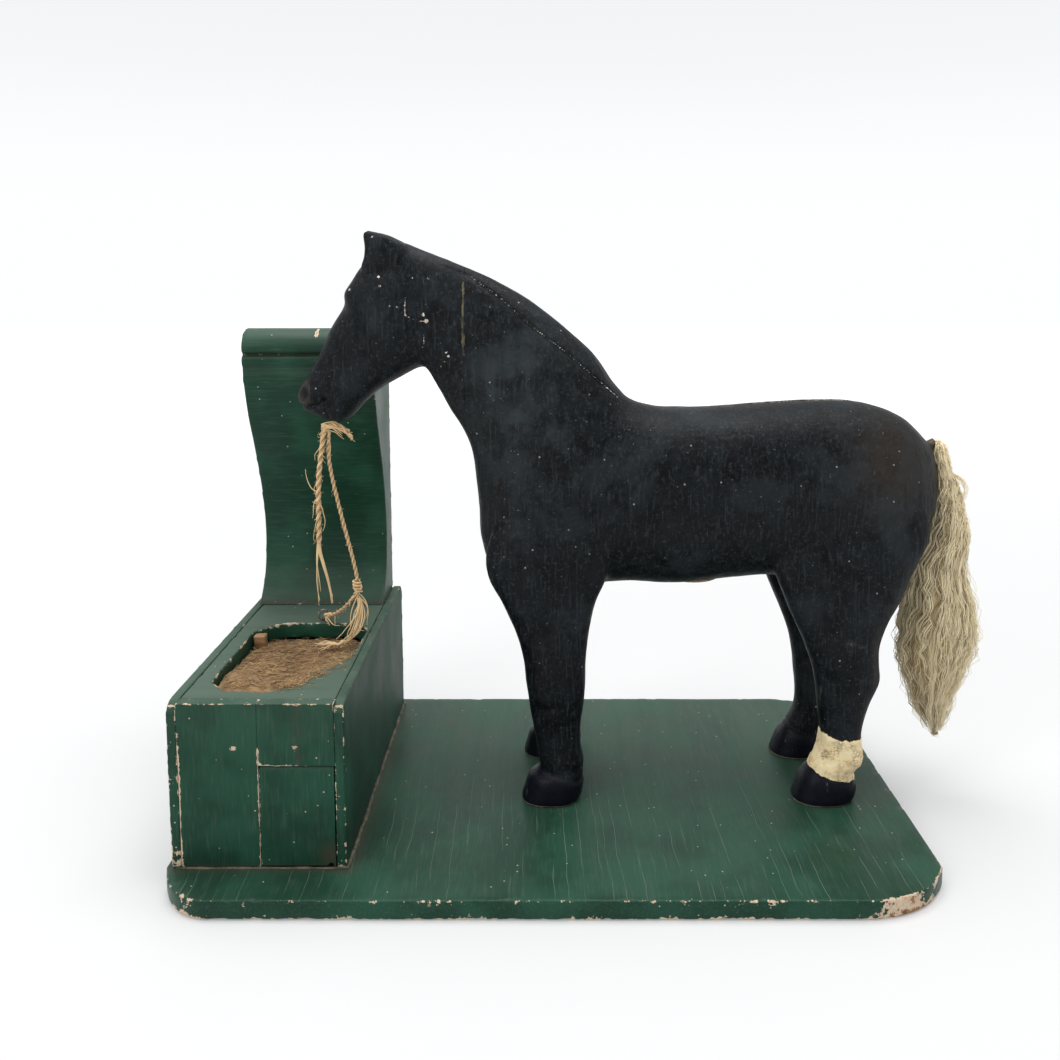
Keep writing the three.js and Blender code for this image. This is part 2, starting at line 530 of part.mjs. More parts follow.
// Knots are plain round solids; their turns are finer than this model.
const KNOT_UPPER = { centre: [-112.6, 10, 120], size: [3, 3, 4], tilt: 0 };
const KNOT_HAY = { centre: [-120.4, -0.2, 90.2], size: [3.2, 3, 2.1], tilt: 0.35 };
function knot({ centre, size, tilt }) {
  const geometry = new THREE.SphereGeometry(1, 14, 10);
  geometry.scale(...size);
  geometry.rotateY(tilt);
  geometry.translate(...centre);
  return solidOf(geometry);
}
add('lead_knot_upper', knot(KNOT_UPPER), TWINE);
add('lead_knot_hay', knot(KNOT_HAY), TWINE);

export default bank;
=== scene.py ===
"""Carved wooden horse coin bank at its manger: the visible pieces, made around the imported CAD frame.

Lists of shape points are in millimetres in the row frame, the same as in the CAD source. Blender's own
objects are in metres. +Z is up, +X runs towards the tail and -Y towards the near side.
"""
import math

import bmesh
import bpy
import numpy as np
from mathutils import Matrix, Vector


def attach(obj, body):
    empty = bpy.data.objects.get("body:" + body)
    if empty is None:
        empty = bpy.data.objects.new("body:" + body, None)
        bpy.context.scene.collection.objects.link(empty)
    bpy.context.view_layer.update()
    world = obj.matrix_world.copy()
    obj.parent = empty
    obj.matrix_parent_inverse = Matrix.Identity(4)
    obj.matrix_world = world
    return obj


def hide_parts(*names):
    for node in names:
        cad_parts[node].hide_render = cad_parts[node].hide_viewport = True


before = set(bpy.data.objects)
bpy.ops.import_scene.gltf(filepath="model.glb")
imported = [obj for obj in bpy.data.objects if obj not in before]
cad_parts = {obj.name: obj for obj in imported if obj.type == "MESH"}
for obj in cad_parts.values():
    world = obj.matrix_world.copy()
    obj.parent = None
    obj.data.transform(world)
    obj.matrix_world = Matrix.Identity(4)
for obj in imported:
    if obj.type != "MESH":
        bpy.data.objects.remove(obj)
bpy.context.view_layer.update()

MM = 0.001

# ---------------------------------------------------------------- dimensions shared with the CAD, in mm
CENTRE_Y = 10.0
FLOOR_Z = 9.8
NECK_JOINT_X = -49.0
FRONT_SEAM_X = -143.7
FRONT_SEAM_Z = 62.0
PLATFORM = {"x": 190.5, "y": 114.3, "top": 9.5, "cut_right": 42.0, "cut_left": 26.0, "cut_deep": 28.0}
MANGER = {"left": -187.4, "right": -101.7, "front": -88.0, "back": 107.0, "top": 93.5, "side": 4.8}
INNER = (-182.3, -106.8)  # between the side boards
FRONT_BOARD = 6.4
TOP_BOARD = 9.5
BACK_BOARD = {"left": -184.2, "right": -106.8, "back": 101.0}
DOOR_HINGE = (-84.8, 58.5)
COIN_SLOT = {"start": 108.0, "end": 175.0, "half": 2.4, "bottom": 200.0}
COIN_BOX = {"start": 60.0, "end": 172.0, "bottom": 152.0, "top": 207.0, "half": 21.0}
PLUG = {"x": 78.0, "radius": 16.3}
TROUGH = [
    (-174, -60), (-165, -71), (-144, -74), (-132, -66), (-124, -36),
    (-109, -18), (-109, 18), (-118, 28), (-160, 28), (-174, 13),
]
BACK_FACE = [
    (62, 93.5), (70, 101.5), (76.5, 112), (79.2, 126), (79.2, 142), (76.5, 158), (70, 176), (60.5, 195),
    (51.5, 212), (45.5, 228), (42.6, 240), (42.2, 244),
]
BACK_ROLL = [
    (40.8, 245.5), (40.4, 248), (41, 250.4), (43, 251.6), (40.9, 253.6), (40.6, 257), (42.6, 261.6),
    (46.5, 265), (52, 266.6), (64, 266.3), (80, 263.4), (92, 258.5), (101, 250),
]

# Ribs of the carved horse, from the muzzle to the rump: (upper x, upper z, lower x, lower z, half width).
HORSE_RIBS = [
    (-130, 218.5, -130, 218.5, 0), (-141.5, 226, -121, 216.8, 9.5), (-143, 233, -114.5, 218.8, 12.5),
    (-138.5, 241, -107, 226.5, 13), (-131, 254, -98.5, 234.2, 13.5), (-124, 268.5, -87, 241.2, 15.5),
    (-116, 282, -76, 246.8, 18), (-112, 294, -71.5, 247.5, 18.5), (-103.5, 306, -69, 245, 17.5),
    (-88, 316.5, -66.5, 240, 16.5), (-71, 311.5, -63, 233.5, 16.5), (-53, 304.4, -57.5, 223.2, 17),
    (-33, 295.7, -50.5, 212, 18.5), (-13, 284, -46, 201, 21), (6, 269.2, -43.8, 186, 25),
    (21, 255.6, -42, 168, 29), (32, 240, -41, 150, 32.5), (42, 229.8, -34, 132, 34.5),
    (56, 225.6, -8, 122, 36), (70, 224.7, 35, 126.5, 37), (86, 224.8, 72, 125.5, 37.5),
    (104, 226, 98, 128.5, 37.5), (124, 227.6, 120, 130, 37), (146, 228.8, 142, 127, 36.5),
    (166, 228.3, 164, 124, 36), (183, 224.6, 184, 130, 34), (198, 218, 200, 142, 29),
    (209.5, 208, 210, 157, 21), (215.5, 198, 215.5, 172, 11.5), (217, 185, 217, 185, 0),
]
# Legs and ears, from the top down: (front x, back x, height, half width, offset from the centre plane). The
# tail's ribs are the same without the offset. Each form starts and ends in a point.
FORE_LEG = [
    (-2, -2, 182, 0, 24), (-30, 30, 165, 9, 25), (-37, 31, 148, 11, 25.5), (-36, 28.5, 134, 11.5, 25.5),
    (-28, 22.5, 119, 11.5, 26), (-20, 19, 101, 11, 27), (-16.5, 17.3, 88, 10.5, 28),
    (-15.5, 17.2, 76, 10.5, 28), (-14, 16.5, 66, 10, 28), (-11.5, 14.4, 52, 9, 28), (-9.5, 14.6, 40, 9, 28),
    (-8, 16.4, 31, 10, 28), (-8.5, 16, 26.5, 10, 28), (-13, 16.2, 23.5, 12, 28), (-16, 15.5, 15, 13, 28),
    (-18, 13.5, 9, 13.5, 28), (-19, 12, 4, 13.8, 28), (-3, -3, 2, 0, 28),
]
HIND_LEG = [
    (168, 168, 190, 0, 20), (135, 203, 172, 8, 23), (126, 206, 155, 11, 24.5), (120, 203, 139, 12, 25.5),
    (125, 194, 125, 12, 26), (131, 183.5, 111, 11.5, 27), (137, 178.8, 98, 11, 28),
    (141.5, 178.2, 86, 10.5, 28), (143.3, 178.6, 77, 10, 28), (145, 173.5, 64, 9.5, 28),
    (147, 170, 50, 9, 28), (146.5, 169.7, 40, 9.3, 28), (142.5, 169.6, 30.5, 10.5, 28),
    (139, 165, 25.5, 10.5, 28), (137, 166.5, 22.5, 12, 28), (134, 166.8, 14.5, 13, 28),
    (132, 165, 9, 13.5, 28), (131, 164, 4, 13.8, 28), (148, 148, 2, 0, 28),
]
EAR = [
    (-101.2, -101.2, 322.4, 0, 9), (-103.6, -95, 321, 2, 8.8), (-104.2, -88.5, 318.8, 3.6, 8.4),
    (-104.4, -82, 315.2, 5, 8), (-104.6, -79, 308, 5.8, 8), (-105, -79, 300, 6, 8), (-94, -94, 296, 0, 8),
]
TAIL_RIBS = [
    (218, 218, 205, 0), (216.2, 220.6, 203, 4.2), (218, 224.5, 193, 7), (218.4, 227.6, 182, 9),
    (217, 231, 168, 10.5), (214.5, 236, 150, 12), (207, 238.2, 128, 13.5), (200.5, 241, 108, 14.5),
    (198, 242, 90, 14.5), (199.5, 238.5, 75, 13), (206, 231.5, 57, 9.5), (214.5, 227, 41, 5.5),
    (222, 222, 31, 0),
]

# Twine routes, in mm.
LEAD_DROP = [
    (-125.8, 6, 211), (-126.2, 5.6, 207), (-126.5, 5.6, 202), (-126.3, 6, 196), (-125.6, 6.6, 189.5),
    (-124.6, 7.4, 182.5), (-123.2, 8.2, 175), (-121.7, 8.8, 167.5), (-120.1, 9.2, 160), (-118.4, 9.6, 152.5),
    (-116.8, 9.8, 145.5), (-115.3, 10, 139), (-114.1, 10, 133.5), (-113.2, 10, 128.8), (-112.7, 10, 124.6),
]
LEAD_TO_EYE = [
    (-114.2, 11.6, 116.4), (-115.6, 12.9, 114), (-117.4, 14.4, 111.4), (-119.4, 16, 108.9),
    (-121.5, 17.8, 106.5), (-123.6, 19.6, 104.4), (-125.7, 21.4, 102.6), (-127.7, 23.1, 101),
    (-129.5, 24.7, 99.8), (-131.1, 26.2, 98.8), (-132.3, 27.4, 98.1), (-133.2, 28.2, 97.7),
    (-133.9, 28.8, 97.4), (-134.4, 29.2, 97.2), (-134.8, 29.5, 97),
]
LEAD_TO_HAY = [
    (-111.9, 9.6, 114.6), (-111.6, 9.1, 112.6), (-111.5, 8.4, 110.4), (-111.6, 7.6, 108.2),
    (-111.9, 6.8, 106), (-112.3, 6, 103.9), (-112.8, 5.2, 101.9), (-113.4, 4.4, 100), (-114, 3.7, 98.3),
    (-114.7, 3, 96.7), (-115.4, 2.4, 95.3), (-116.1, 1.9, 94.1), (-116.8, 1.5, 93), (-117.4, 1.2, 92.2),
    (-117.9, 1, 91.6),
]
FRAYED_DROP = [
    (-128.3, 4.4, 211), (-128.9, 3.6, 207), (-129.5, 3, 202.5), (-130.1, 2.6, 198), (-130.6, 2.4, 193.5),
    (-131.1, 2.4, 189), (-131.5, 2.5, 184.5), (-131.8, 2.7, 180), (-132, 3, 175.5), (-132.2, 3.3, 171),
    (-132.3, 3.6, 166.5), (-132.4, 3.8, 162), (-132.5, 4, 157.5), (-132.6, 4.1, 153), (-132.6, 4.2, 148.5),
]
LIP_WRAP = [
    (-129.6, 4.6, 213.8), (-126.4, 5.2, 214.6), (-122.6, 6, 214.2), (-118.8, 6.8, 212.6), (-115, 7.2, 210),
]
LEAD_RADIUS = 1.1
FRAYED_RADIUS = 1.5


# ---------------------------------------------------------------- camera
def make_camera():
    data = bpy.data.cameras.new("camera")
    camera = bpy.data.objects.new("camera", data)
    bpy.context.scene.collection.objects.link(camera)
    camera.location = (-0.00297, -0.55294, 0.29513)
    camera.rotation_euler = (math.radians(90 - 6.496), 0, 0)
    data.sensor_width = 36
    data.lens = 34.3
    data.shift_x = -0.0177
    data.shift_y = -0.1266
    data.clip_start = 0.01
    data.clip_end = 20
    bpy.context.scene.camera = camera


# ---------------------------------------------------------------- numbers and curves
class Lattice:
    """Smooth noise in space: random values on a repeating grid, blended between grid points."""

    SIZE = 24

    def __init__(self, seed):
        self.values = np.random.default_rng(seed).uniform(-1, 1, (self.SIZE,) * 3)

    def at(self, points, spacing, octaves=1):
        """Noise from -1 to 1 at points; spacing is the grid's, a number or one for each axis."""
        total = np.zeros(len(points))
        strength = 1.0
        place = np.asarray(points, float) / np.asarray(spacing, float)
        for _ in range(octaves):
            total += strength * self._blend(place)
            place = place * 2.03 + 7.1
            strength *= 0.5
        return total

    def _blend(self, place):
        base = np.floor(place).astype(int)
        part = place - base
        part = part * part * (3 - 2 * part)
        total = np.zeros(len(place))
        for corner in np.ndindex(2, 2, 2):
            i, j, k = (np.mod(base[:, axis] + corner[axis], self.SIZE) for axis in range(3))
            weight = np.ones(len(place))
            for axis in range(3):
                weight *= part[:, axis] if corner[axis] else 1 - part[:, axis]
            total += weight * self.values[i, j, k]
        return total


def smooth_route(points, where):
    """Points of the centripetal Catmull-Rom curve through the given ones, at the shares `where` of it."""
    points = np.asarray(points, float)
    last = len(points) - 1
    before = 2 * points[0] - points[1]
    after = 2 * points[-1] - points[-2]
    padded = np.vstack([before, points, after])
    at = np.clip(np.asarray(where, float), 0, 1) * last
    index = np.minimum(at.astype(int), last - 1)
    share = (at - index)[:, None]
    a, b, c, d = (padded[index + k] for k in range(4))
    gaps = [np.sqrt(np.linalg.norm(q - p, axis=1)) for p, q in ((a, b), (b, c), (c, d))]
    middle = np.where(gaps[1] < 1e-4, 1.0, gaps[1])
    first = np.where(gaps[0] < 1e-4, middle, gaps[0])[:, None]
    third = np.where(gaps[2] < 1e-4, middle, gaps[2])[:, None]
    middle = middle[:, None]
    start = ((b - a) / first - (c - a) / (first + middle) + (c - b) / middle) * middle
    end = ((c - b) / middle - (d - b) / (middle + third) + (d - c) / third) * middle
    square = -3 * b + 3 * c - 2 * start - end
    cube = 2 * b - 2 * c + start + end
    return b + start * share + square * share**2 + cube * share**3


def even_route(points, step):
    """The smooth curve through the points, with points an even step apart."""
    fine = smooth_route(points, np.linspace(0, 1, 40 * len(points)))
    along = np.concatenate([[0], np.cumsum(np.linalg.norm(np.diff(fine, axis=0), axis=1))])
    count = max(3, int(round(along[-1] / step)) + 1)
    at = np.linspace(0, along[-1], count)
    return np.column_stack([np.interp(at, along, fine[:, axis]) for axis in range(3)])


def smoothstep(low, high, value):
    part = np.clip((np.asarray(value, float) - low) / (high - low), 0, 1)
    return part * part * (3 - 2 * part)


def bell(distance, width):
    """1 at nought, falling smoothly to 0 on both sides."""
    return np.exp(-(distance / width) ** 2)


def fading(distance, width):
    """1 at nought, falling off sharply on both sides."""
    return np.exp(-np.abs(distance) / width)


# ---------------------------------------------------------------- meshes
def mesh_object(name, vertices, faces, material=None, smooth=True, **attributes):
    """A mesh object from vertices in mm, with a float attribute per vertex for each extra name."""
    mesh = bpy.data.meshes.new(name)
    mesh.from_pydata((np.asarray(vertices) * MM).tolist(), [], [list(map(int, f)) for f in faces])
    mesh.validate()
    for label, values in attributes.items():
        write_attribute(mesh, label, values)
    mesh.polygons.foreach_set("use_smooth", [smooth] * len(mesh.polygons))
    obj = bpy.data.objects.new(name, mesh)
    bpy.context.scene.collection.objects.link(obj)
    if material:
        mesh.materials.append(material)
    return obj


def write_attribute(mesh, label, values):
    attribute = mesh.attributes.get(label) or mesh.attributes.new(label, "FLOAT", "POINT")
    attribute.data.foreach_set("value", np.asarray(values, np.float32))


def read_rows(items, field, width, kind=float):
    """One field of every item in a Blender collection, a row for each."""
    flat = np.zeros(len(items) * width, kind)
    items.foreach_get(field, flat)
    return flat.reshape(-1, width)


def read_vertices(mesh):
    return read_rows(mesh.vertices, "co", 3) / MM


def write_vertices(mesh, points):
    mesh.vertices.foreach_set("co", (np.asarray(points) * MM).ravel())
    mesh.update()


def read_normals(mesh):
    return read_rows(mesh.vertex_normals, "vector", 3)


def read_edges(mesh):
    return read_rows(mesh.edges, "vertices", 2, int)


def read_attribute(mesh, label):
    return read_rows(mesh.attributes[label].data, "value", 1, np.float32)[:, 0].astype(float)


def join_objects(objects, name):
    """One object from several, with their vertices kept."""
    first = objects[0]
    with bpy.context.temp_override(active_object=first, selected_editable_objects=objects):
        bpy.ops.object.join()
    first.name = name
    first.data.name = name
    return first


def with_modifier(obj, kind, **settings):
    """The object's mesh after one modifier, applied."""
    modifier = obj.modifiers.new(kind.lower(), kind)
    for key, value in settings.items():
        setattr(modifier, key, value)
    bpy.context.view_layer.update()
    applied = bpy.data.meshes.new_from_object(obj.evaluated_get(bpy.context.evaluated_depsgraph_get()))
    obj.modifiers.remove(modifier)
    old = obj.data
    obj.data = applied
    applied.name = obj.name
    bpy.data.meshes.remove(old)
    return obj


def grid_faces(rows, columns, closed=True):
    """Quads between rows of vertices; closed joins each row's end to its start."""
    faces = []
    for row in range(rows - 1):
        for column in range(columns if closed else columns - 1):
            right = (column + 1) % columns
            here, above = row * columns, (row + 1) * columns
            faces.append((here + column, here + right, above + right, above + column))
    return faces


def frames_along(route):
    """Two unit vectors across the route at each of its points, turning as little as they can."""
    tangents = np.gradient(route, axis=0)
    tangents /= np.maximum(np.linalg.norm(tangents, axis=1), 1e-9)[:, None]
    side = np.cross(tangents[0], (0.21, 0.93, 0.3))
    side /= np.linalg.norm(side)
    sides = []
    for tangent in tangents:
        side = side - tangent * (side @ tangent)
        side = side / np.linalg.norm(side)
        sides.append(side)
    sides = np.array(sides)
    return sides, np.cross(tangents, sides)


def tube_shape(route, radii, sides, lobes=0.0, twist=0.0):
    """Vertices and faces of a closed tube. lobes pinches two plies, and twist turns them by mm."""
    across, up = frames_along(route)
    along = np.concatenate([[0], np.cumsum(np.linalg.norm(np.diff(route, axis=0), axis=1))])
    angles = np.linspace(0, 2 * math.pi, sides, endpoint=False)
    radii = np.broadcast_to(radii, len(route))
    pinch = 1 - lobes * (1 - np.abs(np.cos(angles[None, :] - (along * twist)[:, None])))
    reach = radii[:, None] * pinch
    rings = (
        route[:, None, :]
        + across[:, None, :] * (reach * np.cos(angles))[:, :, None]
        + up[:, None, :] * (reach * np.sin(angles))[:, :, None]
    )
    vertices = np.vstack([rings.reshape(-1, 3), route[:1], route[-1:]])
    faces = [tuple(reversed(f)) for f in grid_faces(len(route), sides)]
    start, end, ring = len(vertices) - 2, len(vertices) - 1, (len(route) - 1) * sides
    for column in range(sides):
        right = (column + 1) % sides
        faces.append((start, column, right))
        faces.append((end, ring + right, ring + column))
    return vertices, [tuple(reversed(f)) for f in faces]


def strands_object(name, strands, material, sides, taper):
    """Many tapered strands in one mesh, each (route, radius, tone)."""
    vertices, faces, tones = [], [], []
    for route, radius, tone in strands:
        share = np.linspace(0, 1, len(route))
        points, quads = tube_shape(route, radius * (1 - (1 - taper) * share**2), sides)
        vertices.append(points)
        faces += [tuple(v + len(tones) for v in quad) for quad in quads]
        tones += [tone] * len(points)
    return mesh_object(name, np.vstack(vertices), faces, material, tone=tones)


def carved_shape(ribs, around, along, squareness=0.86):
    """The same carved form as in the CAD, more finely: ribs with or without an offset at their end."""
    ribs = [tuple(rib) + (0,) * (6 - len(rib)) for rib in ribs]
    where = np.linspace(0, 1, along + 1)
    upper = smooth_route([(r[0], r[4], r[1]) for r in ribs], where)
    lower = smooth_route([(r[2], r[5], r[3]) for r in ribs], where)
    upper[[0, -1], 1] = 0
    turn = np.linspace(0, 2 * math.pi, around, endpoint=False)

    def rounded(values):
        return np.sign(values) * np.abs(values) ** squareness

    reach = rounded(np.cos(turn)) / 2
    side = -rounded(np.sin(turn))
    x = (upper[:, 0] + lower[:, 0])[:, None] / 2 + (upper[:, 0] - lower[:, 0])[:, None] * reach
    y = CENTRE_Y + lower[:, 1][:, None] + np.maximum(upper[:, 1], 0)[:, None] * side
    z = (upper[:, 2] + lower[:, 2])[:, None] / 2 + (upper[:, 2] - lower[:, 2])[:, None] * reach
    vertices = np.stack([x, y, z], axis=2).reshape(-1, 3)
    return vertices, grid_faces(along + 1, around)


def upright(ribs, side=0):
    """Level ribs of a standing form, on one side (-1 or 1) of the centre plane or in it (0)."""
    return [(rib[1], rib[2], rib[0], rib[2], rib[3], side * rib[4] if side else 0) for rib in ribs]


def merged_union(name, shapes, voxel):
    """One closed surface around several overlapping closed shapes, remade with even faces."""
    parts = [weld(mesh_object(f"{name}_{index}", *shape)) for index, shape in enumerate(shapes)]
    whole = join_objects(parts, name)
    return with_modifier(whole, "REMESH", mode="VOXEL", voxel_size=voxel * MM, adaptivity=0)


def weld(obj, distance=1e-6):
    """Vertices on one spot become one, and all faces are turned outwards."""
    bm = bmesh.new()
    bm.from_mesh(obj.data)
    bmesh.ops.remove_doubles(bm, verts=bm.verts, dist=distance)
    bmesh.ops.dissolve_degenerate(bm, edges=bm.edges, dist=1e-7)
    bmesh.ops.recalc_face_normals(bm, faces=bm.faces)
    bm.to_mesh(obj.data)
    bm.free()
    return obj


def relaxed(points, edges, rounds, strength):
    """Points moved towards their neighbours' middle, by a share of the way that may differ per point."""
    count = np.bincount(edges.ravel(), minlength=len(points)).astype(float)
    count = np.maximum(count, 1)[:, None]
    strength = np.broadcast_to(strength, len(points))[:, None]
    for _ in range(rounds):
        total = np.zeros_like(points)
        for axis in range(3):
            total[:, axis] = np.bincount(edges[:, 0], points[edges[:, 1], axis], len(points))
            total[:, axis] += np.bincount(edges[:, 1], points[edges[:, 0], axis], len(points))
        points = points + (total / count - points) * strength
    return points


def block_object(name, low, high):
    corners = [[x, y, z] for x in (low[0], high[0]) for y in (low[1], high[1]) for z in (low[2], high[2])]
    faces = [(0, 1, 3, 2), (4, 6, 7, 5), (0, 4, 5, 1), (2, 3, 7, 6), (0, 2, 6, 4), (1, 5, 7, 3)]
    return weld(mesh_object(name, corners, faces, smooth=False))


def cut_by(obj, tool, operation="DIFFERENCE"):
    """Changes the object's mesh by a tool's shape, and takes the tool away."""
    with_modifier(obj, "BOOLEAN", operation=operation, solver="MANIFOLD", object=tool)
    remove_object(tool)


def remove_object(obj):
    mesh = obj.data
    bpy.data.objects.remove(obj)
    bpy.data.meshes.remove(mesh)


def show_as(obj, body, slot, *nodes):
    """The piece rides on a body and stands for CAD nodes, which it hides; slot is not used."""
    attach(obj, body)
    if nodes:
        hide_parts(*nodes)
    return obj


# ---------------------------------------------------------------- shader nodes
class Nodes:
    """Short ways to add nodes to a node tree."""

    def __init__(self, tree):
        self.tree = tree

    def put(self, socket, value):
        if isinstance(value, bpy.types.NodeSocket):
            self.tree.links.new(value, socket)
        elif isinstance(value, tuple) and socket.type == "RGBA":
            socket.default_value = (*value, 1)
        else:
            socket.default_value = value

    def node(self, kind, **settings):
        """A new node. Names in lower case set the node itself, and capitalised ones its sockets."""
        node = self.tree.nodes.new(f"ShaderNode{kind}")
        for label, value in settings.items():
            if label[0].islower():
                setattr(node, label, value)
            else:
                self.put(node.inputs[label.replace("_", " ")], value)
        return node

    def math(self, operation, total, *others):
        """The values combined in turn by one operation."""
        for other in others:
            node = self.node("Math", operation=operation)
            self.put(node.inputs[0], total)
            self.put(node.inputs[1], other)
            total = node.outputs[0]
        return total

    def plus(self, *values):
        return self.math("ADD", *values)

    def minus(self, *values):
        return self.math("SUBTRACT", *values)

    def times(self, *values):
        return self.math("MULTIPLY", *values)

    def most(self, *values):
        return self.math("MAXIMUM", *values)

    def ramp(self, value, low, high, bottom=0.0, top=1.0):
        """Value carried smoothly from low..high to bottom..top."""
        node = self.node("MapRange", interpolation_type="SMOOTHSTEP", Value=value,
                         From_Min=low, From_Max=high, To_Min=bottom, To_Max=top)
        return node.outputs[0]

    def axes(self, vector):
        """The x, y and z of a vector."""
        return self.node("SeparateXYZ", Vector=vector).outputs


class Shader(Nodes):
    """One Principled material. Its patterns lie in the piece's own space, in metres."""

    def __init__(self, name, **constants):
        self.material = bpy.data.materials.new(name)
        self.material.use_nodes = True
        self.material.diffuse_color = (0.3, 0.3, 0.3, 1)
        super().__init__(self.material.node_tree)
        self.surface = self.tree.nodes["Principled BSDF"]
        self.set(**constants)
        self.place = self.node("TexCoord").outputs["Object"]

    def set(self, **values):
        for label, value in values.items():
            self.put(self.surface.inputs[label.replace("_", " ")], value)

    def mix(self, factor, a, b):
        node = self.node("Mix", data_type="RGBA")
        for index, value in ((0, factor), (6, a), (7, b)):
            self.put(node.inputs[index], value)
        return node.outputs[2]

    def layers(self, base, *layers):
        """A colour with others laid over it in turn, each by its cover."""
        for cover, colour in layers:
            base = self.mix(cover, base, colour)
        return base

    def attribute(self, name):
        return self.node("Attribute", attribute_name=name).outputs["Fac"]

    def facing_up(self):
        """How far a face looks up in the world: 1 when it lies level, 0 when it stands upright."""
        return self.axes(self.node("NewGeometry").outputs["Normal"])[2]

    def scaled_place(self, stretch):
        return self.node("Mapping", Vector=self.place, Scale=stretch).outputs[0]

    def noise(self, scale, detail=3.0, roughness=0.5, stretch=(1, 1, 1), distortion=0.0):
        """Noise around a half; scale is cells per metre, and stretch multiplies it by axis."""
        node = self.node("TexNoise", Vector=self.scaled_place(stretch), Scale=scale, Detail=detail,
                         Roughness=roughness, Distortion=distortion)
        return node.outputs[0]

    def ragged(self, reach, *pattern):
        """Noise around nought, to make an even edge uneven."""
        return self.times(self.minus(self.noise(*pattern), 0.5), reach)

    def specks(self, scale, size, share):
        """Scattered small round spots, 1 inside them."""
        spots = self.node("TexVoronoi", Vector=self.scaled_place((1, 1, 1)), Scale=scale).outputs
        chosen = self.node("SeparateColor", Color=spots["Color"]).outputs[0]
        return self.times(self.ramp(spots["Distance"], size, size * 0.55),
                          self.ramp(chosen, 1 - share, 1 - share + 0.01))

    def bump(self, height, distance, strength=1.0):
        self.set(Normal=self.node("Bump", Distance=distance, Strength=strength, Height=height).outputs[0])


CREAM = (0.62, 0.53, 0.38)
PINK_PRIMER = (0.60, 0.42, 0.31)
BARE_TAN = (0.36, 0.19, 0.08)
BARE_BROWN = (0.16, 0.085, 0.04)
HAND_GRIME = (0.055, 0.045, 0.03)
GREEN_DEEP = (0.0062, 0.038, 0.0215)
GREEN_MID = (0.0130, 0.067, 0.0395)
GREEN_DUSTY = (0.085, 0.125, 0.095)
GREEN_CRACK = (0.26, 0.30, 0.24)
BLACK_DEEP = (0.0012, 0.0015, 0.0024)
BLACK_MID = (0.0050, 0.0068, 0.0086)
BLACK_DUSTY = (0.034, 0.043, 0.046)
BLACK_HOOF = (0.005, 0.0055, 0.010)


def enamel_cracks(shader):
    """Fine cracks that run across the platform's length, from the front edge to the back."""
    x, y, _ = shader.axes(shader.place)
    place = shader.plus(x, shader.times(shader.noise(35, 2, 0.5), 0.004), shader.times(y, 0.03))
    lines = shader.node("TexVoronoi", voronoi_dimensions="1D", feature="DISTANCE_TO_EDGE", Scale=150, W=place)
    return shader.times(
        shader.ramp(lines.outputs["Distance"], 0.035, 0.0),
        shader.ramp(shader.noise(36, 4, 0.6, (2.2, 0.5, 1)), 0.46, 0.6),
        shader.ramp(y, 0.03, -0.05, 0.12, 1.0),
        shader.ramp(shader.facing_up(), 0.7, 0.95),
    )


def green_paint(name, grain, dusty=0.35, crazed=False, dull=0.0):
    """Old green enamel over cream primer over pine. grain is the axis that brush strokes run along."""
    shader = Shader(name, Specular_IOR_Level=0.17)
    along = tuple(0.08 if axis == grain else 1.0 for axis in range(3))
    strokes = shader.noise(900, 4, 0.6, along)
    broad = shader.noise(28, 3, 0.55)
    fine = shader.noise(420, 4, 0.65)
    level = shader.ramp(shader.facing_up(), 0.25, 0.95)
    film = shader.plus(shader.times(level, dusty), shader.attribute("dust"))
    film = shader.times(film, shader.ramp(shader.noise(70, 5, 0.6, along), 0.25, 0.7, 0.45, 1.15))
    base = shader.layers(
        GREEN_DEEP,
        (shader.ramp(broad, 0.38, 0.64), GREEN_MID),
        (shader.ramp(strokes, 0.45, 0.85, 0, 0.35), GREEN_DUSTY),
        (film, GREEN_DUSTY),
    )
    height = shader.times(strokes, 0.18)
    if crazed:
        crack = enamel_cracks(shader)
        base = shader.mix(shader.times(crack, 0.42), base, GREEN_CRACK)
        height = shader.minus(height, shader.times(crack, 0.5))

    uneven = shader.plus(shader.ragged(1.7, 330, 5, 0.7), shader.ragged(1.5, 110, 4, 0.65))
    wear = shader.plus(shader.attribute("wear"), uneven)
    chipped = shader.ramp(wear, 0.62, 0.68)
    wood = shader.mix(shader.ramp(shader.noise(500, 4, 0.6, along), 0.35, 0.7), BARE_TAN, BARE_BROWN)
    base = shader.layers(
        base,
        (shader.times(shader.specks(330, 0.16, 0.08), 0.8), CREAM),
        (chipped, shader.mix(shader.ramp(fine, 0.4, 0.62), CREAM, PINK_PRIMER)),
        (shader.ramp(wear, 1.02, 1.12), wood),
        (shader.attribute("grime"), HAND_GRIME),
    )
    rough = shader.plus(shader.ramp(broad, 0.3, 0.7, 0.22 + dull, 0.36 + dull), shader.times(fine, 0.12))
    rough = shader.plus(shader.most(rough, shader.times(chipped, 0.8)), shader.times(film, 0.25))
    shader.set(Base_Color=base, Roughness=rough)
    height = shader.plus(shader.minus(height, shader.times(chipped, 0.9)), shader.times(fine, 0.15))
    shader.bump(height, 0.00025, 0.8)
    return shader.material


